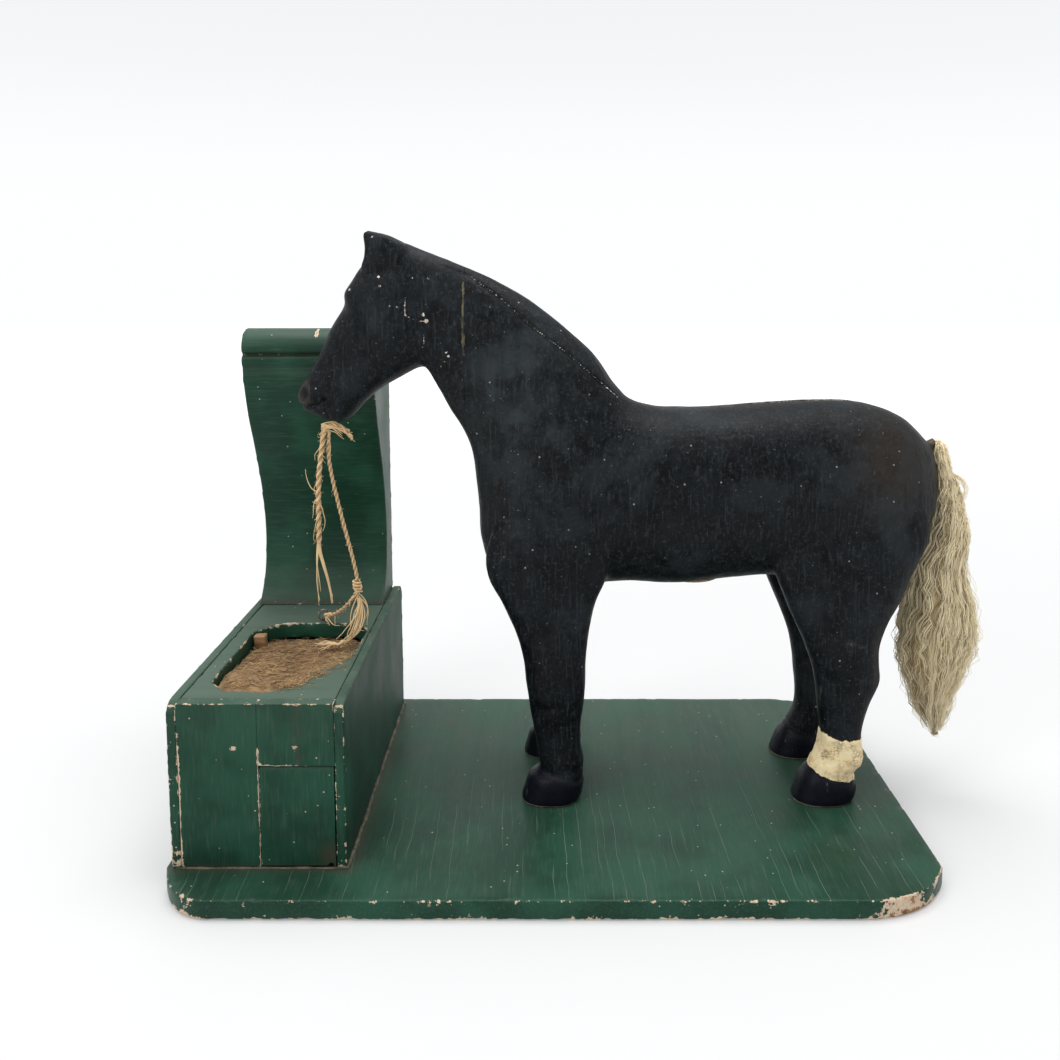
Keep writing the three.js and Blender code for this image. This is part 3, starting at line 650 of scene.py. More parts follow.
def sock_paint(shader, fine):
    """The sock's cream paint, grimy in its hollows, and its crazing."""
    place = shader.scaled_place((1, 1, 1.6))
    crazing = shader.node("TexVoronoi", feature="DISTANCE_TO_EDGE", Vector=place, Scale=420)
    crazed = shader.times(shader.ramp(crazing.outputs["Distance"], 0.06, 0.0),
                          shader.ramp(shader.noise(120, 2, 0.5), 0.5, 0.6))
    cream = shader.layers(
        (0.97, 0.79, 0.47),
        (shader.ramp(shader.noise(140, 5, 0.7), 0.45, 0.7), (0.68, 0.49, 0.25)),
        (shader.ramp(fine, 0.55, 0.72), (0.92, 0.87, 0.72)),
        (shader.ramp(shader.noise(210, 4, 0.7), 0.58, 0.7, 0, 0.75), (0.17, 0.10, 0.05)),
        (shader.times(crazed, 0.6), (0.12, 0.06, 0.03)),
    )
    return cream, crazed


def black_paint():
    """Charcoal enamel on the carved horse, with dust, worn marks, the cream sock and glossier hooves."""
    shader = Shader("horse_black_paint", Specular_IOR_Level=0.13)
    grain = shader.noise(700, 5, 0.62, (1, 1, 0.1))
    broad = shader.noise(30, 5, 0.65)
    fine = shader.noise(520, 4, 0.7)
    patchy = shader.noise(95, 6, 0.72)
    film = shader.ramp(shader.noise(60, 6, 0.7), 0.34, 0.66, 0.05, 1.5)
    dust = shader.times(shader.attribute("dust"), film)
    smears = shader.ramp(shader.noise(48, 6, 0.75, (0.6, 1, 1.5), 1.2), 0.6, 0.74)
    hairlines = shader.times(shader.ramp(shader.noise(420, 2, 0.5, (1, 1, 0.05)), 0.69, 0.74),
                             shader.ramp(shader.noise(50, 2, 0.5), 0.5, 0.62))
    base = shader.layers(
        BLACK_DEEP,
        (shader.ramp(patchy, 0.4, 0.6), BLACK_MID),
        (shader.ramp(broad, 0.5, 0.64, 0, 0.85), (0.0120, 0.0160, 0.0190)),
        (shader.ramp(grain, 0.52, 0.66, 0, 0.75), (0.0185, 0.0245, 0.0285)),
        (shader.ramp(fine, 0.53, 0.68, 0, 0.7), (0.029, 0.036, 0.041)),
        (dust, BLACK_DUSTY),
        (shader.attribute("brown"), (0.045, 0.032, 0.024)),
        (shader.times(smears, 0.45), (0.06, 0.062, 0.06)),
        (shader.times(hairlines, 0.22), (0.16, 0.16, 0.15)),
    )
    for scale, share, strength in ((260, 0.07, 0.6), (520, 0.05, 0.45)):
        base = shader.mix(shader.times(shader.specks(scale, 0.16, share), strength), base, (0.45, 0.44, 0.40))

    # hooves: smoother and bluer, scratched downwards, with a thin pale rim where they meet the board
    hoof = shader.ramp(shader.attribute("hoof"), -0.3, 0.3)
    scratches = shader.times(shader.ramp(shader.noise(650, 3, 0.5, (1, 1, 0.04)), 0.66, 0.76),
                             shader.ramp(shader.noise(90, 2, 0.5), 0.48, 0.6), hoof, 0.3)
    rim = shader.times(shader.ramp(shader.axes(shader.place)[2], 0.0106, 0.0101), 0.35)
    # where the paint is gone: cracks and chips, and a torn pale line of filler at the neck joint; on the coin
    # slot's lips the pale is a painted highlight with some wear
    chip_and_highlight = shader.ramp(shader.plus(shader.attribute("chip_and_highlight"), shader.ragged(1.9, 900, 5, 0.75)), -0.05, 0.2)
    pale = shader.mix(shader.ramp(fine, 0.45, 0.62), (0.74, 0.70, 0.61), (0.50, 0.40, 0.29))
    torn = shader.ragged(3.6, 320, 5, 0.8, (1, 1, 0.45))
    joint = shader.times(shader.ramp(shader.plus(shader.attribute("joint"), torn), -0.2, 0.3), 0.8)
    filled = shader.ramp(shader.noise(170, 3, 0.6), 0.42, 0.6)
    filler = shader.mix(filled, (0.17, 0.145, 0.085), (0.040, 0.044, 0.030))
    sock = shader.ramp(shader.plus(shader.attribute("sock"), shader.ragged(3.2, 260, 4, 0.65)), -0.15, 0.2)
    cream, crazed = sock_paint(shader, fine)
    base = shader.layers(
        base, (hoof, BLACK_HOOF), (scratches, (0.3, 0.31, 0.34)), (rim, CREAM), (chip_and_highlight, pale), (joint, filler),
        (sock, cream),
    )
    rough = shader.plus(shader.ramp(patchy, 0.3, 0.7, 0.3, 0.5), shader.times(fine, 0.16))
    rough = shader.minus(rough, shader.times(hoof, 0.14))
    rough = shader.plus(shader.most(rough, shader.times(sock, 0.72)), shader.times(dust, 0.3))
    shader.set(Base_Color=base, Roughness=rough)
    height = shader.plus(shader.times(grain, 0.5), shader.times(fine, 0.3), shader.times(patchy, 1.6))
    height = shader.plus(shader.minus(height, shader.times(chip_and_highlight, 0.6)), shader.times(sock, 0.8))
    height = shader.minus(height, shader.times(crazed, sock))
    shader.bump(height, 0.00045, 0.9)
    return shader.material


def raw_wood(name, grain, light=(0.40, 0.24, 0.11), dark=(0.20, 0.105, 0.045)):
    """Unpainted pine, browned by handling."""
    shader = Shader(name)
    along = tuple(0.06 if axis == grain else 1.0 for axis in range(3))
    rings = shader.noise(420, 5, 0.6, along, 0.6)
    base = shader.layers(
        light,
        (shader.ramp(rings, 0.35, 0.68), dark),
        (shader.ramp(shader.noise(60, 4, 0.6), 0.5, 0.8, 0, 0.6), (0.09, 0.06, 0.035)),
    )
    shader.set(Base_Color=base, Roughness=shader.ramp(rings, 0.3, 0.7, 0.62, 0.85))
    shader.bump(rings, 0.0003, 0.7)
    return shader.material


def aged_iron():
    """Nails, screws and the hitching eye: dull steel with rust blooms."""
    shader = Shader("aged_iron", Metallic=0.85)
    blooms = shader.noise(700, 5, 0.65)
    base = shader.mix(shader.ramp(blooms, 0.45, 0.62), (0.30, 0.29, 0.28), (0.13, 0.05, 0.02))
    shader.set(Base_Color=base, Roughness=shader.ramp(blooms, 0.4, 0.7, 0.38, 0.8))
    shader.bump(blooms, 0.00012, 0.7)
    return shader.material


def foot_grime():
    """Dirt and old glue, with some green paint over it."""
    shader = Shader("foot_grime")
    noise = shader.noise(260, 5, 0.65)
    base = shader.layers(
        (0.06, 0.05, 0.035),
        (shader.ramp(noise, 0.35, 0.65), (0.16, 0.13, 0.09)),
        (shader.ramp(shader.noise(90, 3, 0.5), 0.5, 0.62), (0.035, 0.06, 0.04)),
    )
    shader.set(Base_Color=base, Roughness=shader.ramp(noise, 0.3, 0.7, 0.7, 0.95))
    shader.bump(noise, 0.0003, 0.8)
    return shader.material


def fibre(name, light, dark, roughness, stretch, scale, sheen):
    """Hair, hay and twine: a tone for each strand, and fine streaks along it."""
    shader = Shader(name, Roughness=roughness, Sheen_Weight=sheen, Sheen_Roughness=0.5,
                    Specular_IOR_Level=0.25)
    streaks = shader.noise(scale, 4, 0.65, stretch)
    tone = shader.plus(shader.attribute("tone"), shader.times(streaks, 0.5))
    shader.set(Base_Color=shader.mix(shader.ramp(tone, 0.25, 1.05), dark, light))
    shader.bump(streaks, 0.0002, 0.7)
    return shader.material


# ---------------------------------------------------------------- boards
def rounded_outline(points, radii, pitch):
    """A closed outline round corner points, each rounded by its radius, with points about a pitch apart."""
    points = np.asarray(points, float)
    radii = np.broadcast_to(radii, len(points))
    path = []
    for index, corner in enumerate(points):
        before = points[index - 1] - corner
        after = points[(index + 1) % len(points)] - corner
        reach = min(radii[index], 0.45 * np.linalg.norm(before), 0.45 * np.linalg.norm(after))
        start = corner + before / np.linalg.norm(before) * reach
        end = corner + after / np.linalg.norm(after) * reach
        for share in np.linspace(0, 1, 5 if reach > 0.05 else 1):
            path.append((1 - share) ** 2 * start + 2 * share * (1 - share) * corner + share**2 * end)
    path = np.array(path)
    outline = []
    for index, point in enumerate(path):
        step = path[(index + 1) % len(path)] - point
        count = max(1, int(round(np.linalg.norm(step) / pitch)))
        outline += [point + step * k / count for k in range(count)]
    return np.array(outline)


def inset(outline, distance):
    """A closed, anticlockwise outline moved inwards."""
    step = np.roll(outline, -1, 0) - np.roll(outline, 1, 0)
    normal = np.column_stack([-step[:, 1], step[:, 0]])
    normal /= np.maximum(np.linalg.norm(normal, axis=1), 1e-9)[:, None]
    return outline + normal * distance


def signed_area(outline):
    following = np.roll(outline, -1, 0)
    return 0.5 * np.sum(outline[:, 0] * following[:, 1] - outline[:, 1] * following[:, 0])


def board(name, outline, low, high, axis, material, edge=0.8, pitch=3.0, holes=()):
    """A sawn board: an outline, its thickness along an axis, and softened edges.

    The faces are gridded, and the attribute `edge` holds each vertex's distance to the nearest arris, in mm.
    """
    loops = [outline if signed_area(outline) > 0 else outline[::-1]]
    loops += [hole[::-1] if signed_area(hole) > 0 else hole for hole in holes]
    rings = []  # (inset, height above the low face)
    thickness = high - low
    for angle in np.linspace(0, math.pi / 2, 4):
        rings.append((edge * (1 - math.sin(angle)), edge * (1 - math.cos(angle))))
    count = max(1, int((thickness - 2 * edge) / 2.0))
    sides = [(0.0, edge + (thickness - 2 * edge) * k / count) for k in range(1, count)]
    rings += sides + [(back, thickness - up) for back, up in reversed(rings[:4])]

    bm = bmesh.new()
    inner = [[], []]
    for loop in loops:
        previous = None
        for index, (back, up) in enumerate(rings):
            flat = inset(loop, back)
            ring = [bm.verts.new((u, v, low + up)) for u, v in flat]
            if previous:
                for k in range(len(ring)):
                    after = (k + 1) % len(ring)
                    bm.faces.new((previous[k], previous[after], ring[after], ring[k]))
            previous = ring
            if index in (0, len(rings) - 1):
                inner[0 if index == 0 else 1].append(ring)
    for face_rings in inner:
        if holes:
            edges = []
            for ring in face_rings:
                for k in range(len(ring)):
                    pair = (ring[k], ring[(k + 1) % len(ring)])
                    edges.append(bm.edges.get(pair) or bm.edges.new(pair))
            bmesh.ops.triangle_fill(bm, edges=edges, use_beauty=True, use_dissolve=False)
        else:
            bm.faces.new(face_rings[0])
    corners = np.vstack(loops)
    for across in (0, 1):
        first, last = corners[:, across].min(), corners[:, across].max()
        direction = [0, 0, 0]
        direction[across] = 1
        for at in np.arange(first + pitch, last - 0.4 * pitch, pitch):
            spot = [0, 0, 0]
            spot[across] = at
            everything = bm.verts[:] + bm.edges[:] + bm.faces[:]
            bmesh.ops.bisect_plane(bm, geom=everything, dist=0.05, plane_co=spot, plane_no=direction)
    bmesh.ops.recalc_face_normals(bm, faces=bm.faces)

    flat = np.array([v.co[:] for v in bm.verts])
    to_outline = np.full(len(flat), np.inf)
    for loop in loops:
        to_outline = np.minimum(to_outline, distance_to_line(flat[:, :2], closed(loop)))
    to_face = np.minimum(flat[:, 2] - low, high - flat[:, 2])
    arris = np.maximum(to_outline, to_face)
    arris = np.minimum(arris, distance_to_turns(flat[:, :2], loops))
    order = {"x": (2, 0, 1), "y": (0, 2, 1), "z": (0, 1, 2)}[axis]
    for vertex in bm.verts:
        u, v, t = vertex.co
        vertex.co = [(u, v, t)[k] for k in order]
    bmesh.ops.recalc_face_normals(bm, faces=bm.faces)
    mesh = bpy.data.meshes.new(name)
    bm.to_mesh(mesh)
    bm.free()
    points = read_vertices(mesh) * MM  # they were written in mm
    write_vertices(mesh, points)
    write_attribute(mesh, "edge", arris)
    mesh.polygons.foreach_set("use_smooth", [True] * len(mesh.polygons))
    mesh.set_sharp_from_angle(angle=math.radians(50))
    obj = bpy.data.objects.new(name, mesh)
    bpy.context.scene.collection.objects.link(obj)
    mesh.materials.append(material)
    return obj


def distance_to_line(points, line):
    """Distance from each point to a polyline, in the two or three axes of both."""
    line = np.asarray(line, float)
    best = np.full(len(points), np.inf)
    batch = 64
    for start in range(0, len(line) - 1, batch):
        part = line[start:start + batch + 1]
        along = np.diff(part, axis=0)
        size = np.maximum((along**2).sum(1), 1e-12)
        offset = points[:, None, :] - part[None, :-1, :]
        share = np.clip((offset * along).sum(2) / size, 0, 1)
        gap = offset - share[:, :, None] * along
        best = np.minimum(best, np.sqrt((gap**2).sum(2)).min(1))
    return best


def closed(outline):
    return np.vstack([outline, outline[:1]])


def distance_to_turns(points, loops):
    """Distance to the places where an outline turns sharply."""
    turns = []
    for loop in loops:
        before = loop - np.roll(loop, 3, 0)
        after = np.roll(loop, -3, 0) - loop
        size = np.linalg.norm(before, axis=1) * np.linalg.norm(after, axis=1)
        cosine = (before * after).sum(1) / np.maximum(size, 1e-9)
        turns += [loop[k] for k in np.nonzero(cosine < 0.75)[0]]
    if not turns:
        return np.full(len(points), np.inf)
    return np.sqrt(((points[:, None, :] - np.array(turns)[None, :, :]) ** 2).sum(2)).min(1)


def age_board(obj, seed, marks=None, warp=0.18, chew=0.35, base_wear=0.34):
    """Hand-planed unevenness and chewed arrises, and the attributes that the paint reads.

    marks gives wear, dust and grime from the points, their distances to an arris, and noise.
    """
    mesh = obj.data
    points = read_vertices(mesh)
    arris = read_attribute(mesh, "edge")
    lattice = Lattice(seed)
    bites = np.clip(lattice.at(points, 5.0, 3) - 0.15, 0, 1) * bell(arris, 1.3)
    lift = warp * lattice.at(points, 34.0, 2) - chew * bites
    write_vertices(mesh, points + read_normals(mesh) * lift[:, None])
    found = marks(points, arris, lattice) if marks else {}
    found["wear"] = base_wear * fading(arris, 0.6) + found.get("wear", 0)
    for label in ("wear", "dust", "grime"):
        write_attribute(mesh, label, np.zeros(len(points)) + found.get(label, 0))


def boxed(u, v, radius=1.0, pitch=1.6):
    """The outline of a rectangle, with softened corners."""
    corners = [(u[0], v[0]), (u[1], v[0]), (u[1], v[1]), (u[0], v[1])]
    return rounded_outline(corners, radius, pitch)


def platform_outline():
    """The platform from above: a rectangle whose corners are sawn off in soft bends, longer on the right."""
    x, y, deep = PLATFORM["x"], PLATFORM["y"], PLATFORM["cut_deep"]
    pull = 0.28
    outline = []
    before = np.array([-x + PLATFORM["cut_left"], -y])
    for side, turn in ((1, -1), (1, 1), (-1, 1), (-1, -1)):
        cut, count = (PLATFORM["cut_right"], 34) if side > 0 else (PLATFORM["cut_left"], 26)
        start, end = np.array([side * (x - cut), turn * y]), np.array([side * x, turn * (y - deep)])
        if side * turn > 0:
            start, end = end, start
        control = np.array([side * (x - cut * pull), turn * (y - deep * pull * 0.4)])
        straight = int(math.dist(before, start) / 1.4)
        for share in np.linspace(0, 1, straight, endpoint=False):
            outline.append(before + (start - before) * share)
        for share in np.linspace(0, 1, count, endpoint=False):
            outline.append((1 - share) ** 2 * start + 2 * share * (1 - share) * control + share**2 * end)
        before = end
    return np.array(outline)


def platform_marks(points, arris, lattice):
    x, y, z = points.T
    top = PLATFORM["top"]
    right = smoothstep(138, 168, x) * smoothstep(-70, -92, y)
    left = smoothstep(-158, -176, x) * smoothstep(-60, -84, y)
    front = smoothstep(-104, -112, y)
    side_face = smoothstep(top - 0.4, top - 1.6, z)
    patches = smoothstep(0.1, 0.8, lattice.at(points, 9, 2) + 0.5)
    wear = fading(arris, 2.2) * (0.6 * right + 0.32 * left + 0.18 * smoothstep(178, 188, x) + 0.16 * front)
    wear += 0.4 * front * fading(arris, 0.8)
    wear += side_face * (0.56 * right * patches + 0.2 * left + 0.14 * front)
    wear += 0.2 * smoothstep(-60, -110, y) * smoothstep(0.5, 1.1, lattice.at(points, 7, 2))
    # the first term greys the platform towards the back: a painted reflection of the bright backdrop; the
    # second is dust along the manger's front
    dust = 0.26 * smoothstep(-70, 40, y) + 0.2 * smoothstep(-88, -99, x) * smoothstep(-95, -80, y)
    foot = fading(x - MANGER["right"] - 1, 3.0) * (y > MANGER["front"] - 3)
    foot += fading(y - MANGER["front"] + 1, 1.6) * (x < MANGER["right"] + 3)
    return {
        "wear": wear,
        "dust": dust * smoothstep(top - 1, top - 0.2, z),
        "grime": 0.8 * np.clip(foot, 0, 1) * (z > top - 1),
    }


def make_platform(paint):
    obj = board("platform_board", platform_outline(), 0, PLATFORM["top"], "z", paint, edge=1.1, pitch=4.0)
    age_board(obj, 11, platform_marks, warp=0.16, chew=0.7, base_wear=0.4)
    show_as(obj, "stand", "green_paint", "platform")


def side_marks(points, arris, lattice):
    """The manger's side boards: chipped at the front and the foot, dustier towards the back."""
    _, y, z = points.T
    wear = fading(arris, 1.1) * (0.42 * smoothstep(-80, -87, y) + 0.2 * smoothstep(88, 93, z))
    low = smoothstep(26, 12, z) * smoothstep(-72, -86, y)
    wear += 0.3 * low * smoothstep(0.0, 0.8, lattice.at(points, 6, 2))
    streaks = 0.88 + 0.12 * np.sin(y * 0.45 + 2 * np.sin(z * 0.07))
    face = 0.2 * smoothstep(-70, 60, y) + 0.1 * smoothstep(40, 90, z)
    return {"wear": wear, "dust": face * streaks + 0.25 * smoothstep(90.5, 93, z)}


def front_marks(points, arris, lattice):
    """The manger's front: open seams, a painted highlight along the seam over the door, two nail heads, a
    crack above the door and a thumbed corner.
    """
    x, y, z = points.T
    seam = fading(x - FRONT_SEAM_X, 0.9) * smoothstep(80, 60, z)
    outer = fading(x - INNER[0], 1.2) * smoothstep(88, 70, z)
    # pale along the seam over the door, most to its left: a painted highlight on the door's top edge, with
    # some wear
    gap = fading(z - FRONT_SEAM_Z, 0.8) * (x > FRONT_SEAM_X) * (0.25 + 0.6 * smoothstep(-124, -128, x))
    nails = fading(np.hypot(x + 155.8, z - 71), 2.4) + 1.15 * fading(np.hypot(x + 124.8, z - 71), 2.4)
    beside_crack = x + 124.6 - 0.5 * np.sin(z * 0.5)
    above_door = z > FRONT_SEAM_Z
    wear = fading(arris, 1.0) * (0.4 * smoothstep(88, 92.5, z) + 0.85 * seam + 0.95 * outer + gap)
    wear += 0.95 * nails + 0.3 * fading(beside_crack, 0.9) * above_door
    fingers = np.exp(-((x + 109.5) / 6) ** 2 - ((z - 16) / 6) ** 2)
    grime = 0.75 * fingers + 0.6 * smoothstep(12.5, 10.2, z) + 0.8 * fading(beside_crack, 0.8) * above_door
    return {
        "wear": wear,
        "dust": 0.14 * smoothstep(60, 92, z),
        "grime": np.clip(grime, 0, 1) * (y < MANGER["front"] + 1),
    }


def make_manger(paint):
    front, back, top, side = (MANGER[label] for label in ("front", "back", "top", "side"))
    corners = [(front, FLOOR_Z), (back, FLOOR_Z), (back, top), (front, top)]
    outline = rounded_outline(corners, (1.1, 1.1, 9, 9), 1.6)
    for name, low, seed in (("left", MANGER["left"], 21), ("right", MANGER["right"] - side, 22)):
        obj = board(f"manger_{name}_board", outline, low, low + side, "x", paint, edge=0.9)
        age_board(obj, seed, side_marks, warp=0.14, chew=0.6, base_wear=0.5)
        show_as(obj, "stand", "green_paint", f"manger_{name}_side")

    high = top - 0.3
    for name, across, foot, seed in (
        ("left", (INNER[0] - 0.3, FRONT_SEAM_X), FLOOR_Z, 31),
        ("upper", (FRONT_SEAM_X, INNER[1] + 0.3), FRONT_SEAM_Z, 32),
    ):
        outline = boxed(across, (foot, high), 0.5)
        obj = board(f"front_{name}_panel", outline, front, front + FRONT_BOARD, "y", paint, 0.35, 2.0)
        age_board(obj, seed, front_marks, warp=0.16, chew=0.5)
        show_as(obj, "stand", "green_paint", f"front_{name}_board")
    make_door(paint)

    wall_back = BACK_BOARD["back"]
    outline = boxed(INNER, (FLOOR_Z, top - TOP_BOARD - 0.3))
    wall = board("manger_rear_panel", outline, wall_back - FRONT_BOARD, wall_back, "y", paint, edge=0.6)
    age_board(wall, 34, warp=0.15, chew=0.4)
    show_as(wall, "stand", "green_paint", "manger_back_wall")


def make_door(paint):
    """The lower right panel: rounded round its hinge line at the top, with a finger notch at its foot."""
    hinge_y, hinge_z = DOOR_HINGE
    half = FRONT_BOARD / 2
    foot = FLOOR_Z + 0.7
    low, high = FRONT_SEAM_X + 0.4, INNER[1] - 0.2
    arc = np.linspace(0, math.pi, 13)
    outline = [(MANGER["front"], foot), (MANGER["front"] + FRONT_BOARD, foot)]
    outline += [(hinge_y + half * math.cos(a), hinge_z + half * math.sin(a)) for a in arc]
    outline = rounded_outline(outline, [0.8, 0.8] + [0] * len(arc), 1.6)
    door = board("door_panel", outline, low, high, "x", paint, edge=0.35, pitch=2.0)
    notch = mesh_object("notch", *tube_shape(np.array([(-109.2, -91, 7.64), (-109.2, -84, 14.36)]), 1.4, 16))
    cut_by(door, weld(notch))

    # the cut drops the attribute `edge`, so each vertex's distance to its nearest arris is worked out again
    x, y, z = read_vertices(door.data).T
    gaps = np.sort(np.stack([
        np.minimum(x - low, high - x),
        half - np.abs(y - hinge_y),
        np.minimum(z - foot, hinge_z + half - z),
    ]), axis=0)
    write_attribute(door.data, "edge", np.maximum(gaps[1], 0))
    age_board(door, 33, front_marks, warp=0.14, chew=0.4)
    show_as(door, "door", "green_paint", "manger_door")


def make_top_board(paint, wood):
    front, back = MANGER["front"] + FRONT_BOARD + 0.3, BACK_BOARD["back"]
    hole = rounded_outline(TROUGH, 3.5, 1.2)
    top = MANGER["top"] - 0.3
    low = MANGER["top"] - TOP_BOARD
    obj = board("manger_top_panel", boxed(INNER, (front, back)), low, top, "z", paint, 0.7, 2.5, [hole])

    def marks(points, arris, lattice):
        z = points[:, 2]
        rim = distance_to_line(points[:, :2], closed(hole))
        wear = 0.5 * fading(rim, 1.3) * smoothstep(top - 2.5, top - 0.4, z)
        wear += 0.3 * smoothstep(0.55, 1.1, lattice.at(points, 5, 2)) * (z > top - 1)
        return {"wear": wear, "dust": 0.5 * smoothstep(top - 1, top - 0.2, z)}

    age_board(obj, 41, marks, warp=0.3, chew=1.2)
    show_as(obj, "stand", "green_paint", "manger_top_board")

    outline = boxed(INNER, (front, back - FRONT_BOARD - 0.3))
    floor = board("trough_floor_board", outline, 68, 74, "z", wood, edge=0.5, pitch=6)
    show_as(floor, "stand", "bare_wood", "trough_floor")
    outline = boxed((-172.5, -166), (7.5, 13.5), 0.8, 1.0)
    block = board("trough_block", outline, 74.3, 92.3, "z", wood, edge=0.5, pitch=1.0)
    points = read_vertices(block.data)
    points += read_normals(block.data) * (0.3 * Lattice(44).at(points, 2.5, 2))[:, None]
    write_vertices(block.data, points)
    show_as(block, "stand", "bare_wood", "trough_corner_block")


def make_back_board(paint):
    face, roll = (
        smooth_route([(y, 0, z) for y, z in line], np.linspace(0, 1, count))[:, [0, 2]]
        for line, count in ((BACK_FACE, 120), (BACK_ROLL, 70))
    )
    back, low, high = BACK_BOARD["back"], BACK_BOARD["left"], BACK_BOARD["right"]
    down = [(back, z) for z in np.arange(BACK_ROLL[-1][1] - 2, MANGER["top"] + 1, -2.0)]
    foot = [(y, MANGER["top"]) for y in np.arange(back, BACK_FACE[0][0] + 1, -2.0)]
    outline = np.vstack([face, roll[1:], down, foot])
    obj = board("scrolled_back_board", outline[::-1], low, high, "x", paint, edge=0.9, pitch=3.0)

    def marks(points, arris, lattice):
        """A crack down the roll, a nick in the right arris, dust on the roll, and dirt in the grooves."""
        x, y, z = points.T
        wear = 0.1 * smoothstep(246, 256, z) * fading(arris, 1.5)
        wear += 0.16 * smoothstep(104, 95, z) * (y < 75) * fading(z - 96, 2)
        wear += 0.95 * fading(x + 139.5 - 0.8 * np.sin(z * 0.35), 0.8) * smoothstep(246, 258, z) * (y < 62)
        wear += 0.5 * bell(z - 226, 6) * fading(arris, 2) * (x > high - 4) * (y < 60)
        dust = 0.3 * smoothstep(252, 266, z) * smoothstep(80, 45, y)
        dust += 0.22 * (fading(z - 241, 1.2) + fading(z - 243.6, 0.6)) * (y < 60)
        dust += 0.24 * smoothstep(130, 98, z) * (y < 90)
        dust += 0.3 * smoothstep(high - 1.2, high - 0.2, x) + 0.2 * (y > back - 1)
        grime = 0.7 * fading(z - 251.6, 0.9) * (y < 50) + 0.8 * fading(z - 94.5, 1.2) * (y < 70)
        return {"wear": wear, "dust": dust, "grime": np.clip(grime, 0, 1)}

    age_board(obj, 51, marks, warp=0.22, chew=0.5)
    show_as(obj, "stand", "green_paint", "back_board")


def make_glue_bead(paint):
    """The squeezed-out dirt and glue along the manger's foot."""
    z = PLATFORM["top"] + 0.2
    right, front = MANGER["right"] + 0.5, MANGER["front"] - 0.4
    routes = (
        ([(right, y, z) for y in (front, -40, 20, 70, 106)], 1.15, 61),
        ([(x, front, z) for x in (MANGER["left"] + 2, -160, -130, right)], 0.6, 62),
    )
    for index, (points, radius, seed) in enumerate(routes):
        route = even_route(points, 1.2)
        lattice = Lattice(seed)
        route[:, :2] += 0.35 * np.column_stack([lattice.at(route, 9, 2), lattice.at(route + 50, 9, 2)])
        radii = np.clip(radius * (1 + 0.4 * lattice.at(route, 4, 2)), 0.25, None)
        obj = mesh_object(f"foot_bead_{index}", *tube_shape(route, radii, 10), paint)
        show_as(obj, "stand", "green_paint")


# ---------------------------------------------------------------- horse
# Lines and marks on the near side, as (x, z) or (x, z, radius).
CREST_LINE = [(-62, 304), (-46.4, 298.2), (-29.3, 285.9), (-13.1, 271.4), (8.5, 255.1), (33.1, 233.3)]
CHEEK_MARK = [(-79.9, 287), (-80.7, 281.5), (-80.3, 276.5), (-76, 274.4), (-69.5, 273)]
CHEEK_MARK_LOWER = [(-70.8, 266.5), (-70.6, 261.5), (-71.8, 258.5)]
JOINT_CRACK = [(-49.3, 296.5), (-48.8, 286), (-49.2, 268), (-48.9, 232)]
CHEEK_CHIPS = [
    (-70.6, 277, 1.3), (-69, 273.6, 1.6), (-98.3, 318.8, 1.0), (-58.4, 256.5, 1.0), (-57.4, 254.4, 1.1),
    (-60, 251.5, 0.8), (-48, 258.5, 0.7), (-94.8, 297.2, 1.1), (-94, 292.3, 0.9), (-76.7, 296.9, 0.9),
    (-68, 296.6, 0.9),
]
SOCK_TOP = [(139.5, 52.5), (142.8, 51.4), (148, 48.6), (154.2, 46.4), (162, 45.6), (172, 45.4)]
SOCK_FOOT = [(130, 35), (135.8, 32.5), (140.1, 28.7), (146, 25.6), (153.3, 23.8), (162, 22.2), (172, 21.5)]
FORE_HOOF_LINE = [(-22, 31), (-12, 29.2), (0, 25.5), (12, 21.5), (20, 20.8)]

# Swellings and hollows of the carving, the same on both sides: the centre as x, distance from the centre
# plane and z, the half sizes, the rise (less than nought for a hollow), and how square the form is.
CARVED_FORMS = [
    ((-83, 17, 264), (15, 12, 15), 1.3, 2.6),  # cheek
    ((-108, 12, 287), (6, 7, 7), 1.6, 2),  # brow
    ((-112.5, 7, 287.5), (3, 10, 5), 1.7, 2),
    ((-113.5, 7, 278), (4, 12, 4.5), -0.9, 2),  # below the brow
    ((-105, 17, 273), (2.8, 6, 10), -2.3, 2.4),  # in front of the eye
    ((-137.6, 11, 233.8), (2.6, 3.6, 3.4), -1.9, 2),  # nostril
    ((-4, 33, 158), (22, 12, 28), 1.2, 2),  # shoulder
    ((18, 36, 140), (7, 12, 26), -1.5, 2),  # behind the elbow
    ((176, 34, 96), (5, 6, 12), -0.8, 2),  # above the hock
    ((122, 38, 150), (7, 12, 30), -1.6, 2),  # flank
    ((165, 36, 178), (30, 14, 26), 1.0, 2),  # haunch
]
# Knife cuts on the head: (x, z) points, depth, half width, and how far from the centre plane they fade in.
CARVED_CUTS = [
    ([(-142, 226.5), (-135, 226.2), (-129.5, 227.5), (-125.5, 231)], 1.7, 0.9, -6),  # mouth
    ([(-126.6, 227.5), (-124.6, 222), (-124.2, 218)], 1.3, 1.0, -6),  # corner of the lip
    ([(-133, 221.5), (-131, 217.5)], 0.7, 1.1, -6),  # chin
    ([(-71, 252), (-66, 262), (-64.5, 274)], 0.7, 3.2, 6),  # throat
]


def below_line(x, z, line):
    """How far below a line of (x, z) points a place is."""
    line = np.array(line, float)
    return np.interp(x, line[:, 0], line[:, 1]) - z


def below_coronet(x, z):
    """How far below the top of the hoof a place on a foreleg or a hind leg is."""
    return np.where(x < 70, below_line(x, z, FORE_HOOF_LINE), below_line(x, z, SOCK_FOOT))


def inside_sock(x, z):
    """The lesser distance inside the sock's upper and lower edges."""
    return np.minimum(below_line(x, z, SOCK_TOP), -below_line(x, z, SOCK_FOOT) - 0.3)


